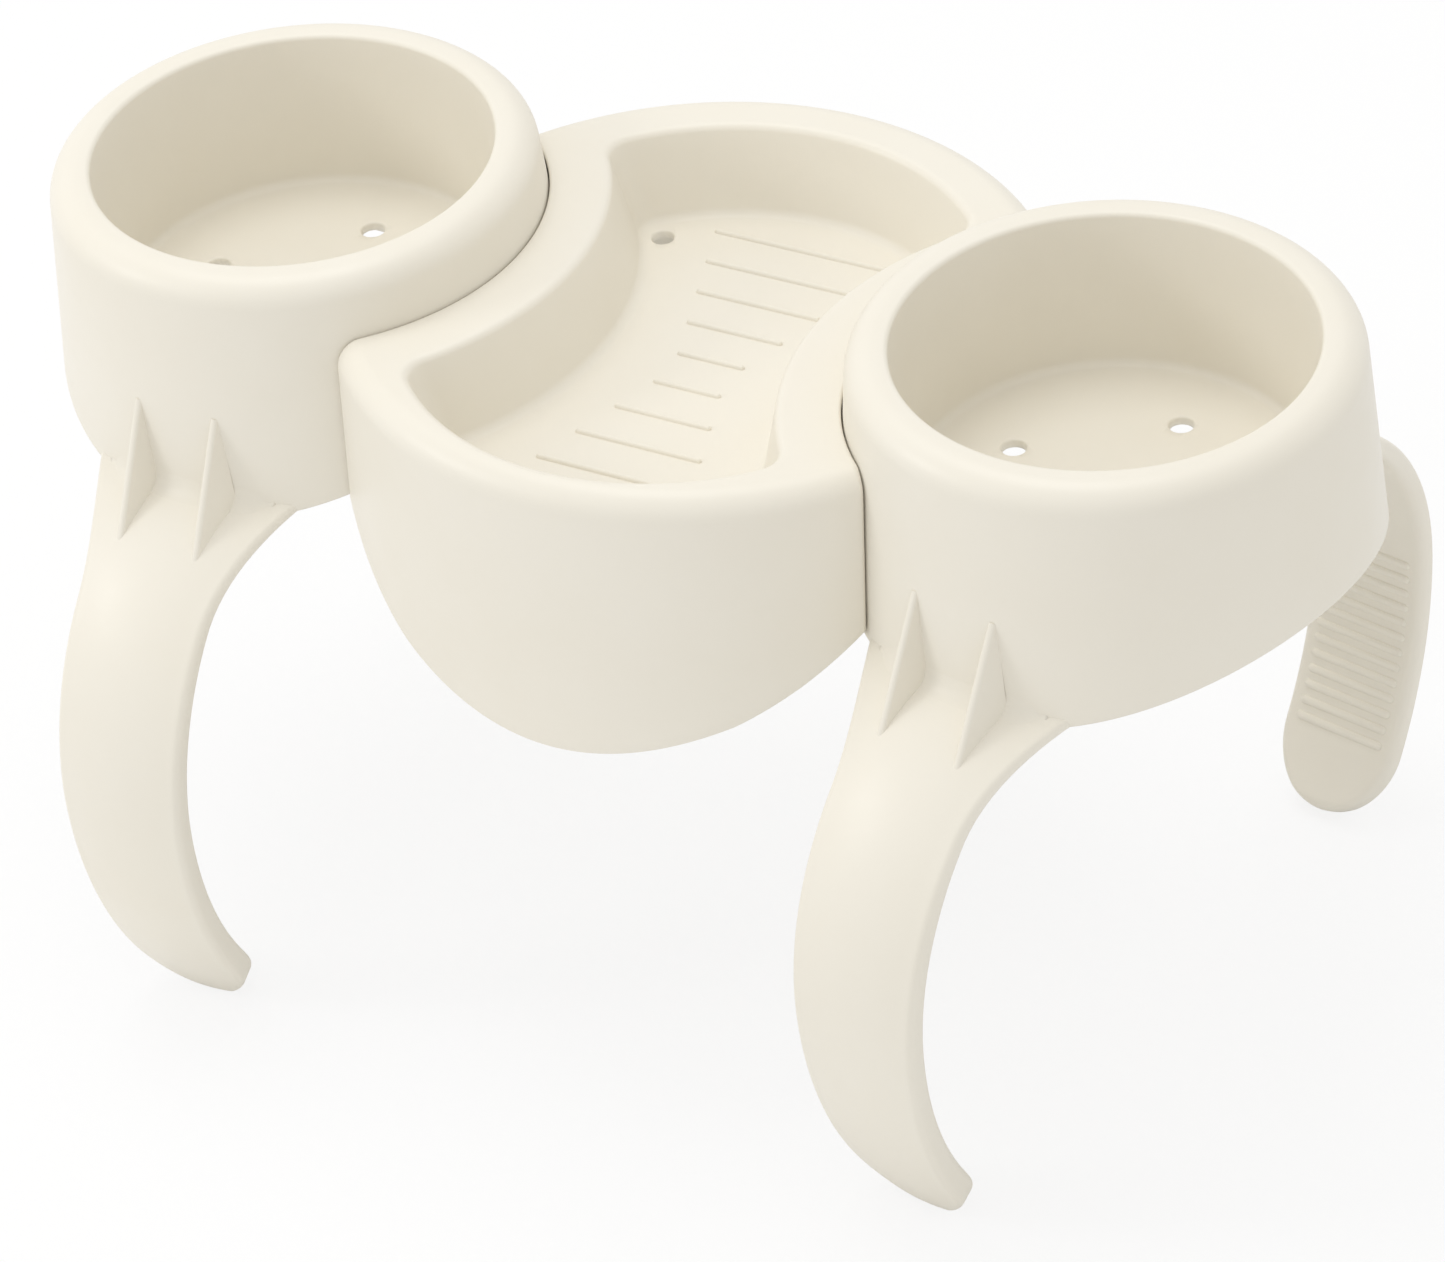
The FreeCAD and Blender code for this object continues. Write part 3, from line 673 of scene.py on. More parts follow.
@dataclass(frozen=True)
class Fin:
    """An upright fin between skirt and claw, thicker at its base and round at its edge, in millimetres.

    Attributes:
        spread: Distance from the middle of the claw.
        top: Its edge's upper end, as reach and depth.
        foot: Its edge's lower end.
        edge: Radius of its edge.
        draft: How much each side leans out for each millimetre towards the base.
        sink: How far its base lies below the surfaces that it stands on.
    """

    spread: float = 11.6
    top: tuple[float, float] = (66.2, 39.6)
    foot: tuple[float, float] = (86.2, 77.2)
    edge: float = 1.15
    draft: float = 0.33
    sink: float = 1.6

    def loops(self, shell: CupShell, claw: Leg, side: int) -> np.ndarray:
        """Stacks sections along the fin's edge, each a round nose with two sides that run to the base.

        The base is the nearer of the skirt's wall and the claw's outer face, met by going from the edge at a
        right angle to it.

        Args:
            shell: The cup, rim and skirt that the fin stands on.
            claw: The claw that it runs down to.
            side: -1 for the fin on the left and 1 for the one on the right.

        Returns:
            Points of shape (sections, points, 3).
        """
        start, end = -np.array(self.top), -np.array(self.foot)
        way = (end - start) / np.linalg.norm(end - start)
        inwards = np.array([-way[1], way[0]])
        edge = start + np.linspace(0, 1, 28)[:, None] * (end - start)
        slope = shell.flare
        to_skirt = (-(shell.cup_radius + shell.rim_width) + slope * edge[:, 1] - edge[:, 0]) / (
            inwards[0] - slope * inwards[1])
        from_centre = edge - np.array([-(claw.reach - claw.bend_up), -claw.belly])
        along = from_centre @ inwards
        face = claw.bend_up + claw.crown * (1 - (self.spread / claw.half_neck) ** 2)
        gap = along ** 2 - (from_centre ** 2).sum(axis=1) + face ** 2
        to_claw = np.where(gap > 0, -along - np.sqrt(np.maximum(gap, 0)), to_skirt)
        deep = np.maximum(np.minimum(to_skirt, to_claw), 0.0)[:, None] + self.sink
        turn = np.radians(np.linspace(-90, 90, 9))
        wide = self.edge * np.concatenate([np.sin(turn), [1, 1], [-1, -1]])
        back = self.edge * (1 - np.concatenate([np.cos(turn), [0, 0, 0, 0]]))
        share = np.array([0.0] * 9 + [0.5, 1.0, 1.0, 0.5])
        inward = back + share * (deep - self.edge)
        wide = wide + np.sign(wide) * self.draft * np.maximum(inward - self.edge, 0)
        yz = edge[:, None, :] + inward[..., None] * inwards
        return np.stack([side * self.spread + wide, yz[..., 0], yz[..., 1]], axis=-1)


@dataclass(frozen=True)
class RootFillets:
    """The soft fillets where legs and fins grow out of the skirt.

    Attributes:
        cell: Size of the even mesh that the parts are joined on.
        passes: How many times hollow corners are raised.
        pull: Share of the way to the neighbours' mean in one pass.
        sink: How far the skin lies below the parts where no corner is filled.
        thick: Thickness of the skin.
        fade: Distance inside a box over which the filling comes in.
        raised: Share of sink by which a point is lifted before it counts as raised.
        rings: How many rings of points are kept round the raised ones.
        outward: How much a kept point's normal faces away from the cup's axis, at least.
        downward: The least that its normal's Z may be.
        places: Lowest and highest corners of the boxes to fill, in the holder's own axes.
    """

    cell: float = 0.9 * MM
    passes: int = 60
    pull: float = 0.5
    sink: float = 0.1 * MM
    thick: float = 0.9 * MM
    fade: float = 4 * MM
    raised: float = 0.6
    rings: int = 3
    outward: float = 0.05
    downward: float = -0.25
    places: tuple = (((-0.0235, -0.105, -0.086), (0.0235, -0.045, -0.034)),
                     ((-0.0215, 0.045, -0.094), (0.0215, 0.105, -0.056)))

    def share(self, own: np.ndarray) -> np.ndarray:
        """Works out how much each point is filled, from 0 outside the boxes to 1 well inside one.

        Args:
            own: Points of shape (n, 3) in the holder's own axes.

        Returns:
            The share for each point, shape (n,).
        """
        depth = [np.minimum(own - np.array(low), np.array(high) - own).min(axis=1)
                 for low, high in self.places]
        return np.clip(np.max(depth, axis=0) / self.fade, 0.0, 1.0)

    def faces_out(self, points: np.ndarray, normals: np.ndarray) -> np.ndarray:
        """Tells which points face away from the cup's axis and not down.

        Args:
            points: Points of shape (n, 3).
            normals: Their normals.

        Returns:
            True or false for each point.
        """
        away = (points[:, :2] * normals[:, :2]).sum(axis=1) / np.linalg.norm(points[:, :2], axis=1)
        return (away > self.outward) & (normals[:, 2] > self.downward)

    def skin(self, name: str, whole: bpy.types.Object) -> bpy.types.Mesh:
        """Joins the parts on an even mesh, raises its hollow corners and keeps the raised skin.

        A pass moves each point by pull times the way to the mean of its neighbours, and only where that way
        goes outwards along the point's normal, which is where the surface is hollow.

        Args:
            name: The skin's name.
            whole: The holder's parts as one object, in the holder's own axes.

        Returns:
            The skin's mesh, in the same axes.
        """
        remesh = whole.modifiers.new("even_mesh", "REMESH")
        remesh.mode = "VOXEL"
        remesh.voxel_size = self.cell
        mesh = bpy.data.meshes.new_from_object(whole.evaluated_get(bpy.context.evaluated_depsgraph_get()))
        whole.modifiers.clear()
        count = len(mesh.vertices)
        points, normals = np.empty(count * 3), np.empty(count * 3)
        mesh.vertices.foreach_get("co", points)
        mesh.vertices.foreach_get("normal", normals)
        points, normals = points.reshape(-1, 3), normals.reshape(-1, 3)
        ends = np.empty(len(mesh.edges) * 2, dtype=np.int64)
        mesh.edges.foreach_get("vertices", ends)
        first, second = ends.reshape(-1, 2).T
        degree = np.bincount(ends, minlength=count)[:, None]
        share = self.share(points)[:, None]
        filled = points.copy()
        for _ in range(self.passes):
            total = np.stack([np.bincount(first, filled[second, axis], count)
                              + np.bincount(second, filled[first, axis], count)
                              for axis in range(3)], axis=-1)
            way = total / degree - filled
            outwards = (way * normals).sum(axis=1, keepdims=True) > 0
            filled += self.pull * share * way * outwards
        lift = ((filled - points) * normals).sum(axis=1)
        kept = (lift > self.raised * self.sink) & self.faces_out(points, normals)
        for _ in range(self.rings):
            near = kept.copy()
            np.logical_or.at(near, first, kept[second])
            np.logical_or.at(near, second, kept[first])
            kept = near
        mesh.vertices.foreach_set("co", (filled - self.sink * normals).ravel())
        shape = bmesh.new()
        shape.from_mesh(mesh)
        shape.verts.ensure_lookup_table()
        spare = [shape.verts[number] for number in np.flatnonzero(~kept)]
        bmesh.ops.delete(shape, geom=spare, context="VERTS")
        shape.to_mesh(mesh)
        shape.free()
        mesh.name = name
        mesh.shade_smooth()
        return mesh


@dataclass(frozen=True)
class Grips:
    """The ribs across the paddle's inner face. Sizes in millimetres.

    Attributes:
        pitch: Distance from one rib to the next along the face.
        count: How many ribs there are.
        length: Length of a rib over its round ends.
        radius: Radius of a rib.
        sink: How far a rib's axis lies inside the face.
        lowest: Depth of the lowest rib below the rim.
    """

    pitch: float = 4.6
    count: int = 13
    length: float = 28.0
    radius: float = 1.35
    sink: float = 0.5
    lowest: float = 192.0

    def points(self, paddle: Leg) -> tuple[np.ndarray, np.ndarray]:
        """Places the ribs along the paddle's inner face.

        At angle u about a rib and station v along it, a point is the rib's centre plus x(v) along X plus
        r(v) * (cos u, sin u) across, where r(v) falls to nothing at the ends as a circle's arc does. Rib n
        stands n pitches from the lowest one, measured as an arc of the bend that it is on.

        Args:
            paddle: The leg that carries them.

        Returns:
            Points of shape (n, 3), and the corner numbers of their faces.
        """
        down = paddle.bend_down - paddle.thick - paddle.grow
        up = paddle.bend_up - paddle.thick + paddle.thin
        lowest = down * math.asin((self.lowest - paddle.belly) / down)
        along = lowest - self.pitch * np.arange(self.count)
        radius = np.where(along > 0, down, up)
        angle = along / radius
        centre = np.stack([np.zeros_like(along),
                           paddle.reach - paddle.thick - radius + (radius + self.sink) * np.cos(angle),
                           -paddle.belly - (radius + self.sink) * np.sin(angle)], axis=-1)
        turn = np.linspace(0, math.pi / 2, 7)
        x = self.length / 2 - self.radius + self.radius * np.sin(turn)
        wide = self.radius * np.cos(turn)
        x, wide = np.concatenate([-x[::-1], x]), np.concatenate([wide[::-1], wide])
        about = np.linspace(0, 2 * math.pi, 16, endpoint=False)
        rows, columns = len(x), len(about)
        bar = np.stack([np.broadcast_to(x[:, None], (rows, columns)), wide[:, None] * np.cos(about),
                        wide[:, None] * np.sin(about)], axis=-1).reshape(-1, 3)
        faces = np.concatenate([grid_faces(rows, columns, rib * len(bar)) for rib in range(self.count)])
        return (centre[:, None, :] + bar[None]).reshape(-1, 3), faces


@dataclass
class CupHolder:
    """One cup holder: rim, cup and skirt with its claw, paddle, fins and grips.

    Attributes:
        side: Which end of the row it stands at.
        turn: How far it is turned about its cup, in degrees.
        half_pitch: Distance from the middle of the row to the cup's axis, in millimetres.
        height: Height of the rim's top above the ground, in millimetres.
        slot_half: Half the angle of the slot for the tray's tongue, in degrees.
        slot_high: The slot's upper and lower edge below the rim, in millimetres.
        slot_reach: Inner and outer radius of the slot's cutter about the cup's axis, in millimetres.
        shell: The cup, rim and skirt.
        claw: The front leg.
        paddle: The back leg.
        fin: The fins over the claw.
        grips: The paddle's ribs.
        fillets: The fillets at the roots.
    """

    side: Side
    turn: float
    half_pitch: float = 116.5
    height: float = 215.0
    slot_half: float = 35.5
    slot_high: tuple[float, float] = (25.8, 34.9)
    slot_reach: tuple[float, float] = (59.2, 72.0)
    shell: CupShell = CupShell()
    claw: Leg = Leg(back=-1, reach=117.0, belly=140.0, bend_up=79.0, bend_down=124.0, crown=3.2,
                    half_neck=19.6, half_tip=17.3, face_edge=2.4, inner_edge=2.6, nose=5.0)
    paddle: Leg = Leg(back=1, reach=118.0, belly=137.0, bend_up=72.0, bend_down=120.0, crown=1.2,
                      half_neck=18.0, half_tip=17.6, face_edge=1.8, inner_edge=2.8, nose=4.0)
    fin: Fin = Fin()
    grips: Grips = Grips()
    fillets: RootFillets = RootFillets()

    @property
    def name(self) -> str:
        """The CAD node that the holder stands for."""
        return f"{self.side.value}_cup_holder"

    @property
    def place(self) -> Matrix:
        """Carries the holder's own axes into the frame."""
        across = self.half_pitch * MM * (-1 if self.side is Side.LEFT else 1)
        return (Matrix.Translation((across, 0, self.height * MM))
                @ Matrix.Rotation(math.radians(self.turn), 4, "Z"))

    def slot(self) -> bpy.types.Object:
        """Makes the slot's cutter, a block bent about the cup's axis on the side that faces the tray.

        Returns:
            The cutter, in the holder's own axes.
        """
        middle = 0.0 if self.side is Side.LEFT else 180.0
        about = np.radians(np.linspace(middle - self.slot_half, middle + self.slot_half, 25))[:, None]
        upper, lower = (-level for level in self.slot_high)
        inner, outer = self.slot_reach
        radius = np.array([inner, outer, outer, inner])
        loops = np.stack([radius * np.cos(about), radius * np.sin(about),
                          np.broadcast_to([upper, upper, lower, lower], (25, 4))], axis=-1)
        return closed_loft("slot_cutter", loops * MM)

    def carved_shell(self) -> bpy.types.Object:
        """Makes the shell and cuts its drains and slot.

        Returns:
            The shell, in the holder's own axes.
        """
        shell = self.shell
        piece = closed_loft("shell", shell.loops() * MM)
        x, y = arc(shell.drain_circle, 0, 270, 4)
        cutters = [drill(f"drain_{number}", place, -shell.depth, shell.wall, shell.drain_radius)
                   for number, place in enumerate(zip(x, y))]
        carved(piece, cutters + [self.slot()])
        return piece

    def parts(self) -> list[bpy.types.Object]:
        """Makes shell, claw and paddle.

        Returns:
            The closed parts, in the holder's own axes.
        """
        made = [self.carved_shell()]
        for name, leg in (("claw", self.claw), ("paddle", self.paddle)):
            made.append(closed_loft(name, leg.loops() * MM, lambda points: (
                self.shell.inside_wall(points / MM) * MM)))
        return made

    def fins(self) -> list[bpy.types.Object]:
        """Makes the two fins over the claw.

        Returns:
            The fins, in the holder's own axes.
        """
        made = []
        for side in (-1, 1):
            fin = closed_loft("fin", self.fin.loops(self.shell, self.claw, side) * MM)
            fin.data.set_sharp_from_angle(angle=math.radians(CREASE))
            made.append(fin)
        return made

    def build(self, finish: bpy.types.Material) -> None:
        """Args:
            finish: Its material.
        """
        bare = joined(f"{self.name}_bare", self.parts())
        fillets = link(f"{self.name}_fillets", self.fillets.skin(f"{self.name}_fillets", bare))
        whole = joined(f"{self.name}_moulding", [bare, *self.fins()])
        wall = fillets.modifiers.new("wall", "SOLIDIFY")
        wall.thickness = self.fillets.thick
        wall.offset = -1
        points, faces = self.grips.points(self.paddle)
        grips = grid_piece(f"{self.name}_grips", points * MM, faces)
        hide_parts(self.name)
        for piece in (whole, fillets, grips):
            piece.data.transform(self.place)
            dress(piece, finish, f"{self.side.value}_holder")


@dataclass
class SnackTray:
    """The tray that hangs between the holders. Sizes in millimetres, depths counted from the cups' rims.

    Attributes:
        half_pitch: Distance from the middle of the row to each cup's axis.
        height: Height of the cups' rims above the ground.
        drop: Depth of the tray's rim.
        front: Plan radius and reach of the outline's front arc at the rim.
        back: The same for its back arc.
        flare: How much those radii grow for each millimetre down.
        side: Radius of the hollow sides about the cups' axes at depth zero.
        side_flare: How much that radius grows for each millimetre down.
        wall: Wall thickness.
        round: Radius of the outer top edge at the front and the back.
        side_round: Radius of that edge along the hollow sides.
        horn: Radius of the upright corner edges.
        horn_inside: The same on the wall's inside.
        lip: How far the walls' lower edge is drawn up as it rounds.
        deep: A depth under the whole tray, where the outlines are worked out a second time.
        saddle: Radius and depth of the arch cut along X.
        keel: Radius and axis depth of the round bottom across X.
        dish: Plan radius and reach of the dish's ends at the rim.
        dish_side: Radius of the dish's waist about the cups' axes at the rim.
        dish_lean: How much the dish narrows for each millimetre down.
        dish_depth: Depth of the dish below the rim.
        dish_corner: Radius of the dish's upright corners.
        dish_foot: Radius between the dish's floor and walls.
        dish_edge: Radius of the dish's upper edge.
        drain: Place and radius of the drain holes.
        tongue_radii: Radii about the cup's axis of a tongue's root, its flange and the flange's inside.
        tongue_depths: Depths of a tongue's upper face, its lower face and its flange's end.
        tongue_half: Half the angle that a tongue covers, in degrees.
    """

    half_pitch: float = 116.5
    height: float = 215.0
    drop: float = 17.5
    front: tuple[float, float] = (98.6, 86.0)
    back: tuple[float, float] = (93.3, 93.3)
    flare: float = 4.9 / 84.5
    side: float = 64.15
    side_flare: float = 6.0 / 76.0
    wall: float = 2.6
    round: float = 6.5
    side_round: float = 0.9
    horn: float = 1.4
    horn_inside: float = 0.6
    lip: float = 0.9
    deep: float = 100.0
    saddle: tuple[float, float] = (125.0, 58.0)
    keel: tuple[float, float] = (97.0, 1.0)
    dish: tuple[float, float] = (71.6, 78.2)
    dish_side: float = 81.83
    dish_lean: float = 5.5 / 25.0
    dish_depth: float = 25.0
    dish_corner: float = 7.0
    dish_foot: float = 2.2
    dish_edge: float = 1.8
    drain: tuple[float, float, float] = (38.3, 51.5, 3.0)
    tongue_radii: tuple[float, float, float] = (67.98, 63.43, 60.83)
    tongue_depths: tuple[float, float, float] = (32.0, 34.6, 40.2)
    tongue_half: float = 22.0

    def quarter(self, centre: np.ndarray, radius: np.ndarray, side: np.ndarray,
                corner: np.ndarray) -> np.ndarray:
        """One quarter of an outline, from the middle of the front to the middle of the right side.

        It is an arc about (0, centre), a corner arc inside it, and an arc about the right cup's axis, each
        tangent to the next. The corner's centre is where a circle of radius - corner about the first centre
        meets one of side + corner about the second.

        Args:
            centre: Y of the first arc's centre, one for each level.
            radius: The first arc's radius.
            side: The side arc's radius.
            corner: The corner's radius.

        Returns:
            Points of shape (levels, 82, 2).
        """
        first = np.stack([np.zeros_like(centre), centre], axis=-1)
        cup = np.array([self.half_pitch, 0.0])
        way = cup - first
        length = np.linalg.norm(way, axis=1, keepdims=True)
        way = way / length
        from_first, from_cup = (radius - corner)[:, None], (side + corner)[:, None]
        along = (from_first ** 2 - from_cup ** 2 + length ** 2) / (2 * length)
        aside = np.sqrt(np.maximum(from_first ** 2 - along ** 2, 0))
        middle = first + along * way + aside * np.stack([way[:, 1], -way[:, 0]], axis=-1)

        def sweep(origin: np.ndarray, size: np.ndarray, start: np.ndarray, end: np.ndarray,
                  count: int) -> np.ndarray:
            """Runs an arc at each level from one angle to another.

            Args:
                origin: Its centre.
                size: Its radius.
                start: The angle of its first point.
                end: The angle where it stops, one step after its last point.
                count: How many points it has.

            Returns:
                Points of shape (levels, count, 2).
            """
            share = np.linspace(0, 1, count, endpoint=False)
            angle = start[:, None] + share * (end - start)[:, None]
            ray = np.stack([np.cos(angle), np.sin(angle)], axis=-1)
            return origin[:, None, :] + size[:, None, None] * ray

        out = middle - first
        across = cup - middle
        a_out, a_across = np.arctan2(out[:, 1], out[:, 0]), np.arctan2(across[:, 1], across[:, 0])
        down = np.full_like(a_out, -math.pi / 2)
        cups = np.broadcast_to(cup, first.shape)
        return np.concatenate([sweep(first, radius, down, a_out, 40),
                               sweep(middle, corner, a_out, a_across, 12),
                               sweep(cups, side, a_across - math.pi, 2 * down, 30)], axis=1)

    def outline(self, front: tuple, back: tuple, side: np.ndarray, corner: np.ndarray) -> np.ndarray:
        """A closed outline at each level, anticlockwise from the middle of the front.

        Args:
            front: Centre's Y and radius of the front arc.
            back: The same for the back arc.
            side: Radius of the side arcs.
            corner: Radius of the corners.

        Returns:
            Points of shape (levels, 328, 2).
        """
        near = self.quarter(front[0], front[1], side, corner)
        far = self.quarter(-back[0], back[1], side, corner) * np.array([1, -1])
        waist = np.stack([self.half_pitch - side, np.zeros_like(side)], axis=-1)[:, None]
        right = np.concatenate([near, waist, far[:, :0:-1]], axis=1)
        left = np.concatenate([far[:, :1], right[:, :0:-1] * np.array([-1, 1])], axis=1)
        return np.concatenate([right, left], axis=1)

    def outside(self, depth: np.ndarray, end_inset: np.ndarray, side_inset: np.ndarray,
                corner: float) -> np.ndarray:
        """Draws the tray's outline at each depth.

        Args:
            depth: Depths below the cups' rims.
            end_inset: How far the front and back arcs are drawn in.
            side_inset: How far the side arcs are drawn in.
            corner: Radius of the corners.

        Returns:
            Points of shape (levels, 328, 2).
        """
        depth, end_inset, side_inset = np.broadcast_arrays(depth, end_inset, side_inset)
        grow = self.flare * (depth - self.drop) - end_inset
        return self.outline((np.full(depth.shape, self.front[0] - self.front[1]), self.front[0] + grow),
                            (np.full(depth.shape, self.back[1] - self.back[0]), self.back[0] + grow),
                            self.side + self.side_flare * depth + side_inset, np.full(depth.shape, corner))

    def hollow(self, depth: np.ndarray, inset: np.ndarray) -> np.ndarray:
        """Draws the dish's outline at each depth.

        Args:
            depth: Depths below the cups' rims.
            inset: How far the outline is drawn in, or out where it is negative.

        Returns:
            Points of shape (levels, 328, 2).
        """
        depth, inset = np.broadcast_arrays(depth, inset)
        narrow = self.dish_lean * (depth - self.drop) + inset
        centre = np.full(depth.shape, self.dish[0] - self.dish[1])
        return self.outline((centre, self.dish[0] - narrow), (-centre, self.dish[0] - narrow),
                            self.dish_side + narrow, np.maximum(self.dish_corner - inset, 1.0))

    @staticmethod
    def at(plan: np.ndarray, depth: np.ndarray) -> np.ndarray:
        """Gives plan points their depths.

        Args:
            plan: Points of shape (levels, n, 2).
            depth: One depth a level or one a point.

        Returns:
            Points of shape (levels, n, 3).
        """
        depth = np.asarray(depth, dtype=float)
        depth = depth[:, None] if depth.ndim == 1 else depth
        return np.concatenate([plan, np.broadcast_to(-depth, plan.shape[:2])[..., None]], axis=-1)

    def skirt_rows(self, start: float, inset: float, corner: float, count: int) -> np.ndarray:
        """Rows from a depth down to the arch and the round bottom, whichever comes first at each point.

        Both plan radii change evenly with depth, so a point at any depth is found on the line between the
        outlines at two depths. Going back and forth between foot and outline settles the depth of the foot.

        Args:
            start: Depth of the first row.
            inset: How far the outline is drawn in.
            corner: Radius of its corners.
            count: How many rows there are.

        Returns:
            Points of shape (count, 328, 3).
        """
        top, low = self.outside(np.array([start, self.deep]), inset, inset, corner)
        arch_radius, arch_top = self.saddle
        keel_radius, keel_axis = self.keel
        foot = np.full(len(top), 0.7 * self.deep)
        for _ in range(8):
            plan = top + ((foot - start) / (self.deep - start))[:, None] * (low - top)
            arch = arch_top + arch_radius - np.sqrt(np.maximum(arch_radius ** 2 - plan[:, 1] ** 2, 1))
            keel = keel_axis + np.sqrt(keel_radius ** 2 - plan[:, 0] ** 2)
            foot = np.minimum(arch, keel)
        depth = start + np.linspace(0, 1, count)[:, None] * (foot - start)
        share = ((depth - start) / (self.deep - start))[..., None]
        return self.at(top + share * (low - top), depth)

    def loops(self) -> np.ndarray:
        """Stacks the tray's outlines from the middle of the dish over the rim, down, and back below.

        Each stretch is a row of outlines whose insets and depths follow a circle's arc at a rounded edge
        and a straight line elsewhere: floor, foot, wall and lip of the dish, rim, skirt, lower edge, and
        then the same from inside at a wall's thickness.

        Returns:
            Points of shape (levels, 328, 3).
        """
        turn = np.radians(np.linspace(0, 90, 8))
        floor = self.drop + self.dish_depth
        foot, edge, grown = self.dish_foot, self.dish_edge, self.wall
        shrink = np.linspace(0.05, 1, 14)[:, None, None]
        rows = [self.at(self.hollow(np.array([floor]), foot) * shrink, np.full(14, floor))]
        depth = floor - foot * (1 - np.cos(turn[1:]))
        rows.append(self.at(self.hollow(depth, foot * (1 - np.sin(turn[1:]))), depth))
        depth = np.linspace(floor - foot, self.drop + edge, 7)[1:]
        rows.append(self.at(self.hollow(depth, 0.0), depth))
        depth = self.drop + edge * (1 - np.sin(turn[1:]))
        rows.append(self.at(self.hollow(depth, -edge * (1 - np.cos(turn[1:]))), depth))
        fine = np.radians(np.array([0, 4, 8, 13, 18, 24, 31, 39, 48, 58, 69, 80, 90]))
        depth = self.drop + self.round * (1 - np.cos(fine))
        near_top = np.clip(self.side_round - (depth - self.drop), 0, None)
        side_inset = self.side_round - np.sqrt(self.side_round ** 2 - near_top ** 2)
        rounded = self.at(self.outside(depth, self.round * (1 - np.sin(fine)), side_inset, self.horn), depth)
        share = np.linspace(0, 1, 8)[1:-1, None, None]
        rows.append(rows[-1][-1] + share * (rounded[0] - rows[-1][-1]))
        rows.append(rounded)
        outer = self.skirt_rows(self.drop + self.round, 0.0, self.horn, 20)
        inner = self.skirt_rows(self.drop + self.round, self.wall, self.horn_inside, 12)
        tip_out, tip_in = outer[-1], inner[-1]
        outer, inner = outer.copy(), inner.copy()
        lip = np.array([0.0, 0.0, self.lip])
        outer[1:] += lip * np.linspace(0, 1, 19)[:, None, None] ** 6
        inner[1:] += lip * np.linspace(0, 1, 11)[:, None, None] ** 6
        rows.append(outer[1:])
        around = np.linspace(0, math.pi, 9)[1:-1, None, None]
        across = 0.5 - 0.5 * squared(np.cos(around))
        rows.append(tip_out + across * (tip_in - tip_out) + lip * (1 - squared(np.sin(around))))
        rows.append(inner[::-1])
        under = self.drop + self.wall
        small = self.round - self.wall
        depth = under + small * (1 - np.sin(turn[1:]))
        inset = grown + small * (1 - np.cos(turn[1:]))
        rows.append(self.at(self.outside(depth, inset, grown, self.horn_inside), depth))
        depth = np.linspace(under, floor - foot, 6)
        basin = self.at(self.hollow(depth, -grown), depth)
        share = np.linspace(0, 1, 5)[1:-1, None, None]
        rows.append(rows[-1][-1] + share * (basin[0] - rows[-1][-1]))
        rows.append(basin)
        depth = floor + grown - (foot + grown) * (1 - np.sin(turn[1:]))
        rows.append(self.at(self.hollow(depth, (foot + grown) * (1 - np.cos(turn[1:])) - grown), depth))
        rows.append(self.at(rows[-1][-1][None, :, :2] * shrink[-2::-2], np.full(7, floor + grown)))
        return np.concatenate([row if row.ndim == 3 else row[None] for row in rows])

    def tongue(self, side: int) -> np.ndarray:
        """An arc of flange on a hollow side, turned down inside the skirt's slot.

        Its L-shaped section, as radius about the cup's axis and depth, goes tongue_half to each side.

        Args:
            side: -1 for the tongue on the left and 1 for the one on the right.

        Returns:
            Points of shape (sections, 6, 3).
        """
        root, outer, inner = self.tongue_radii
        top, under, end = self.tongue_depths
        section = np.array([(root, top), (root, under), (outer, under), (outer, end),
                            (inner, end), (inner, top)])
        about = np.radians(np.linspace(-self.tongue_half, self.tongue_half, 23))[:, None]
        x = side * (self.half_pitch - section[:, 0] * np.cos(about))
        y = section[:, 0] * np.sin(about)
        return np.stack([x, y, np.broadcast_to(-section[:, 1], x.shape)], axis=-1)

    def build(self, ribs: "TrayRibs", finish: bpy.types.Material) -> None:
        """Args:
            ribs: The ribs on the dish's floor.
            finish: The tray's material.
        """
        shell = closed_loft("tray_shell", self.loops() * MM)
        across, along, radius = self.drain
        floor = -(self.drop + self.dish_depth)
        carved(shell, [drill(f"tray_drain_{sign}", (sign * across, -sign * along), floor, self.wall, radius)
                       for sign in (-1, 1)])
        tongues = [closed_loft("tongue", self.tongue(side) * MM) for side in (-1, 1)]
        for tongue in tongues:
            tongue.data.set_sharp_from_angle(angle=math.radians(CREASE))
        whole = joined("snack_tray_moulding", [shell, *tongues])
        points, faces = ribs.points(floor)
        bars = grid_piece("snack_tray_ribs", points * MM, faces)
        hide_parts("snack_tray")
        for piece in (whole, bars):
            piece.data.transform(Matrix.Translation((0, 0, self.height * MM)))
            dress(piece, finish, "tray")


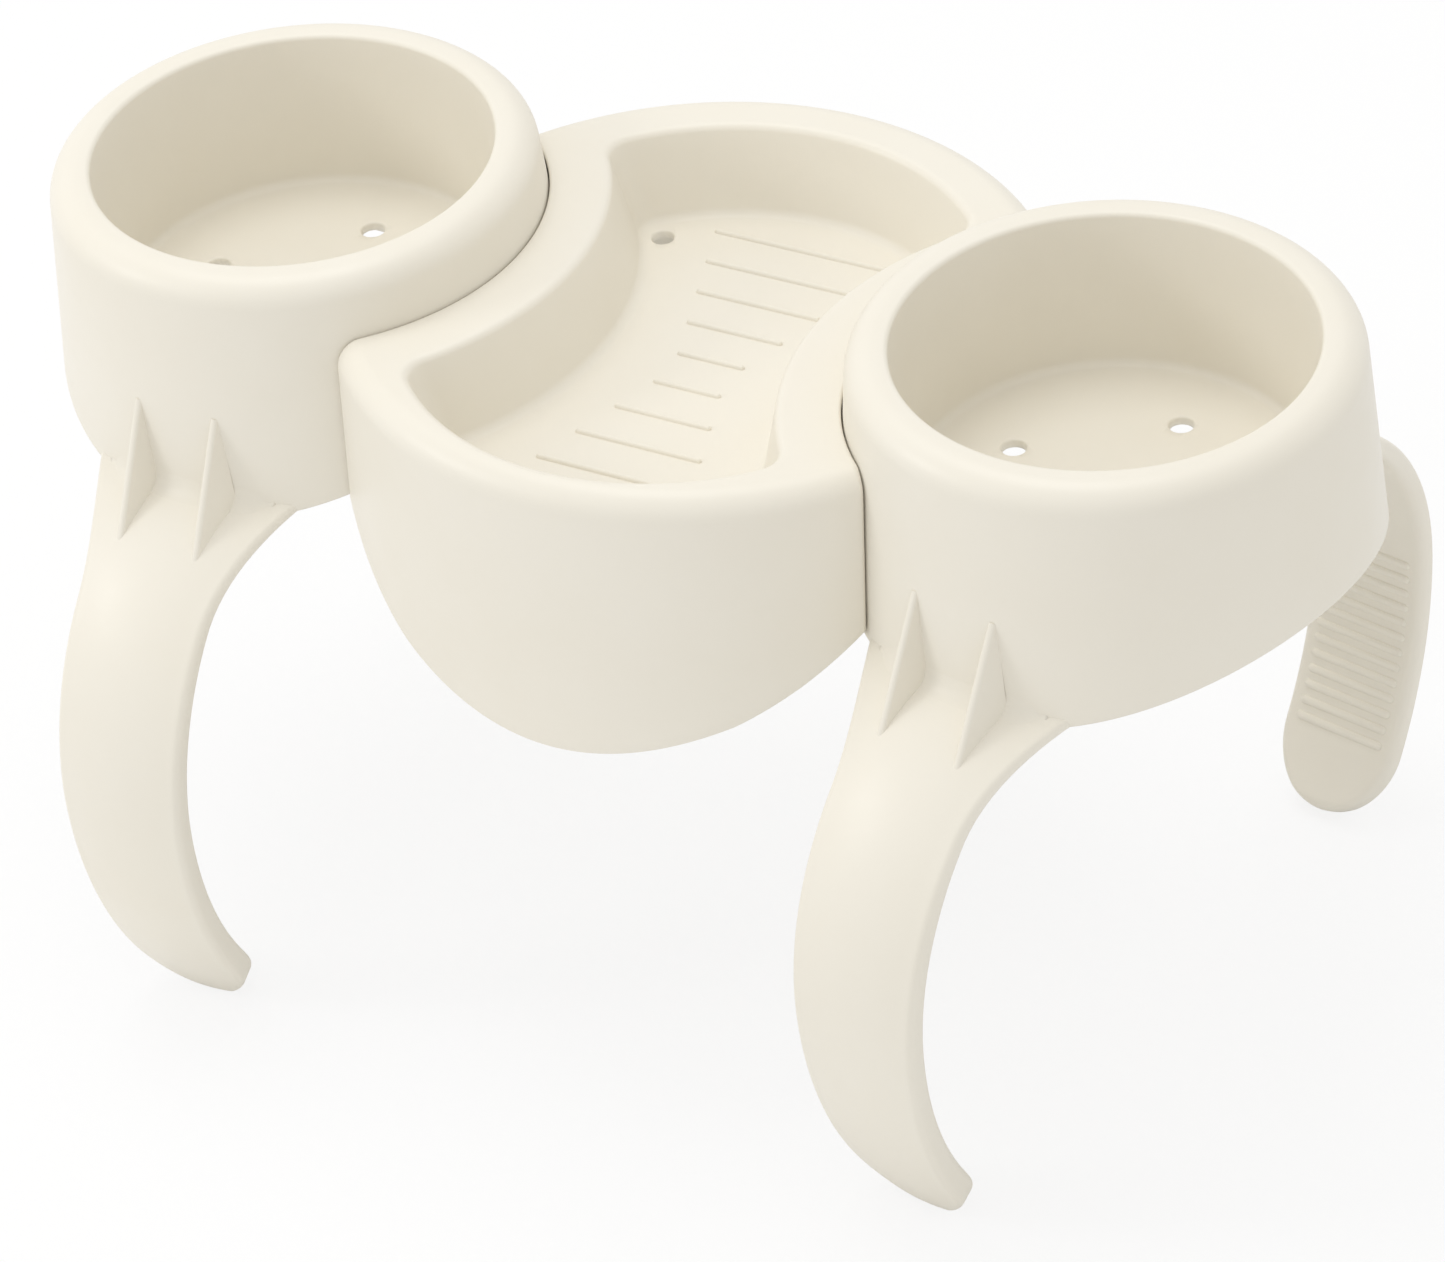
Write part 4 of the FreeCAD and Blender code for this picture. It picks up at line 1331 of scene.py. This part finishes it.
@dataclass(frozen=True)
class TrayRibs:
    """The low ribs across the dish's floor, the middle ones shortest. Sizes in millimetres.

    Attributes:
        pitch: Distance from one rib to the next.
        count: How many ribs there are.
        half_short: Half the straight length of the two middle ribs.
        half_step: How much longer that is for each rib further out.
        wide: Width of a rib.
        high: Height of a rib.
        sink: How far a rib's foot lies below the floor.
    """

    pitch: float = 13.1
    count: int = 10
    half_short: float = 9.0
    half_step: float = 4.2
    wide: float = 1.7
    high: float = 0.95
    sink: float = 0.3

    def points(self, floor: float) -> tuple[np.ndarray, np.ndarray]:
        """Makes each rib a low bar with round ends and a rounded top.

        At station v from a rib's foot to its crown and angle u about its plan, a point lies on a slot-shaped
        outline of half width (wide / 2) * cos v, at height (high + sink) * sin v over the foot.

        Args:
            floor: Height of the floor over the cups' rims, which is below zero.

        Returns:
            Points of shape (n, 3), and the corner numbers of their faces.
        """
        number = np.arange(self.count) - (self.count - 1) / 2
        half = self.half_short + self.half_step * (np.abs(number) - 0.5)
        about = np.linspace(0, 2 * math.pi, 24, endpoint=False)
        rise = np.linspace(0, math.pi / 2, 7)[None, :, None]
        wide = self.wide / 2 * np.cos(rise)
        x = np.where(np.cos(about) >= 0, 1.0, -1.0) * half[:, None, None] + wide * np.cos(about)
        y = self.pitch * number[:, None, None] + wide * np.sin(about)
        z = floor - self.sink + (self.high + self.sink) * np.sin(rise)
        rows, columns = x.shape[1:]
        points = np.stack([np.broadcast_to(axis, x.shape) for axis in (x, y, z)], axis=-1)
        faces = np.concatenate([grid_faces(rows, columns, rib * rows * columns)
                                for rib in range(self.count)])
        return points.reshape(-1, 3), faces


@dataclass(frozen=True)
class Lamp:
    """A round lamp that shines on the object.

    Attributes:
        name: Its name.
        place: Where it stands.
        size: Its width.
        power: Its power in watts.
    """

    name: str
    place: tuple[float, float, float]
    size: float
    power: float

    def build(self, aim: tuple[float, float, float]) -> None:
        """Makes the lamp.

        Args:
            aim: The point that it shines on.
        """
        light = bpy.data.lights.new(self.name, "AREA")
        light.shape = "DISK"
        light.size = self.size
        light.energy = self.power
        stand = bpy.data.objects.new(self.name, light)
        bpy.context.scene.collection.objects.link(stand)
        way = Vector(aim) - Vector(self.place)
        turn = way.to_track_quat("-Z", "Y").to_matrix().to_4x4()
        stand.matrix_world = Matrix.Translation(self.place) @ turn


@dataclass
class Studio:
    """A pale floor, soft light from above and the left, and the camera.

    Attributes:
        floor_half: Half the floor's size.
        floor_tone: The floor's grey.
        floor_lift: Share of plain white that the camera sees in the floor, which keeps its shadows faint.
        world_level: Strength of the even light from all round.
        world_tone: Its colour.
        lamps: A soft key lamp at the front left and a wide one above.
        aim: The point that the lamps shine on.
        eye: The camera's place.
        right: The camera's own X axis.
        up: The camera's own Y axis.
        lens: Focal length in millimetres on a 36 mm wide sensor.
    """

    floor_half: float = 6.0
    floor_tone: float = 0.93
    floor_lift: float = 0.8
    world_level: float = 0.8
    world_tone: tuple[float, float, float] = (1.0, 0.995, 0.985)
    lamps: tuple[Lamp, ...] = (Lamp("key", (-1.35, -0.95, 0.95), 0.5, 4.5),
                               Lamp("top", (-0.3, 0.2, 1.9), 1.2, 9.0))
    aim: tuple[float, float, float] = (0.0, 0.0, 0.12)
    eye: tuple[float, float, float] = (0.63603, -1.03528, 1.04768)
    right: tuple[float, float, float] = (0.881036, 0.465823, -0.082367)
    up: tuple[float, float, float] = (-0.233569, 0.579783, 0.780575)
    lens: float = 145.215

    def floor(self) -> None:
        """A wide pale floor, mixed with white to the camera so that it is near white with faint shadows."""
        half = self.floor_half
        corners = np.array([(-half, -half, 0), (half, -half, 0), (half, half, 0), (-half, half, 0)])
        mesh = bpy.data.meshes.new("studio_floor")
        mesh.from_pydata(corners.tolist(), [], [(0, 1, 2, 3)])
        floor = link("studio_floor", mesh)
        paint = bpy.data.materials.new("studio_floor")
        paint.use_nodes = True
        tree = paint.node_tree
        nodes = Nodes(tree)
        shader = tree.nodes["Principled BSDF"]
        shader.inputs["Base Color"].default_value = (self.floor_tone,) * 3 + (1,)
        shader.inputs["Roughness"].default_value = 0.9
        shader.inputs["Specular IOR Level"].default_value = 0.0
        seen = nodes.add("LightPath").outputs["Is Camera Ray"]
        white = nodes.add("Emission", Color=(1, 1, 1, 1), Strength=1.0)
        both = nodes.add("MixShader", Fac=nodes.maths("MULTIPLY", seen, self.floor_lift))
        tree.links.new(shader.outputs[0], both.inputs[1])
        tree.links.new(white.outputs[0], both.inputs[2])
        tree.links.new(both.outputs[0], tree.nodes["Material Output"].inputs["Surface"])
        mesh.materials.append(paint)

    def light(self) -> None:
        """Even light from all round, plain white to the camera, and the lamps."""
        world = bpy.data.worlds.new("studio")
        bpy.context.scene.world = world
        world.use_nodes = True
        tree = world.node_tree
        nodes = Nodes(tree)
        backdrop = tree.nodes["Background"]
        backdrop.inputs["Color"].default_value = (*self.world_tone, 1)
        seen = nodes.add("LightPath").outputs["Is Camera Ray"]
        level = nodes.add("MapRange", Value=seen, To_Min=self.world_level, To_Max=1.0)
        tree.links.new(level.outputs["Result"], backdrop.inputs["Strength"])
        for lamp in self.lamps:
            lamp.build(self.aim)

    def camera(self) -> None:
        """The camera at the photograph's angle, with no shift and no depth of field."""
        lens = bpy.data.cameras.new("camera")
        lens.sensor_width = 36.0
        lens.lens = self.lens
        eye = bpy.data.objects.new("camera", lens)
        bpy.context.scene.collection.objects.link(eye)
        right, up = Vector(self.right), Vector(self.up)
        axes = Matrix((right, up, right.cross(up))).transposed().to_4x4()
        eye.matrix_world = Matrix.Translation(self.eye) @ axes
        bpy.context.scene.camera = eye

    def build(self) -> None:
        """Sets up floor, light, camera and the plain view transform."""
        self.floor()
        self.light()
        self.camera()
        bpy.context.scene.view_settings.view_transform = "Standard"


def main() -> None:
    """Builds the tray, its holders and the studio."""
    logging.basicConfig(level=logging.INFO, format="%(message)s")
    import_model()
    grain = moulded_grain()
    for side, turn in TURNS.items():
        CupHolder(side, turn).build(IvoryPlastic(f"ivory_plastic_{side.value}").material(grain))
    SnackTray().build(TrayRibs(), IvoryPlastic("ivory_plastic_tray").material(grain))
    Studio().build()


if __name__ == "__main__":
    main()
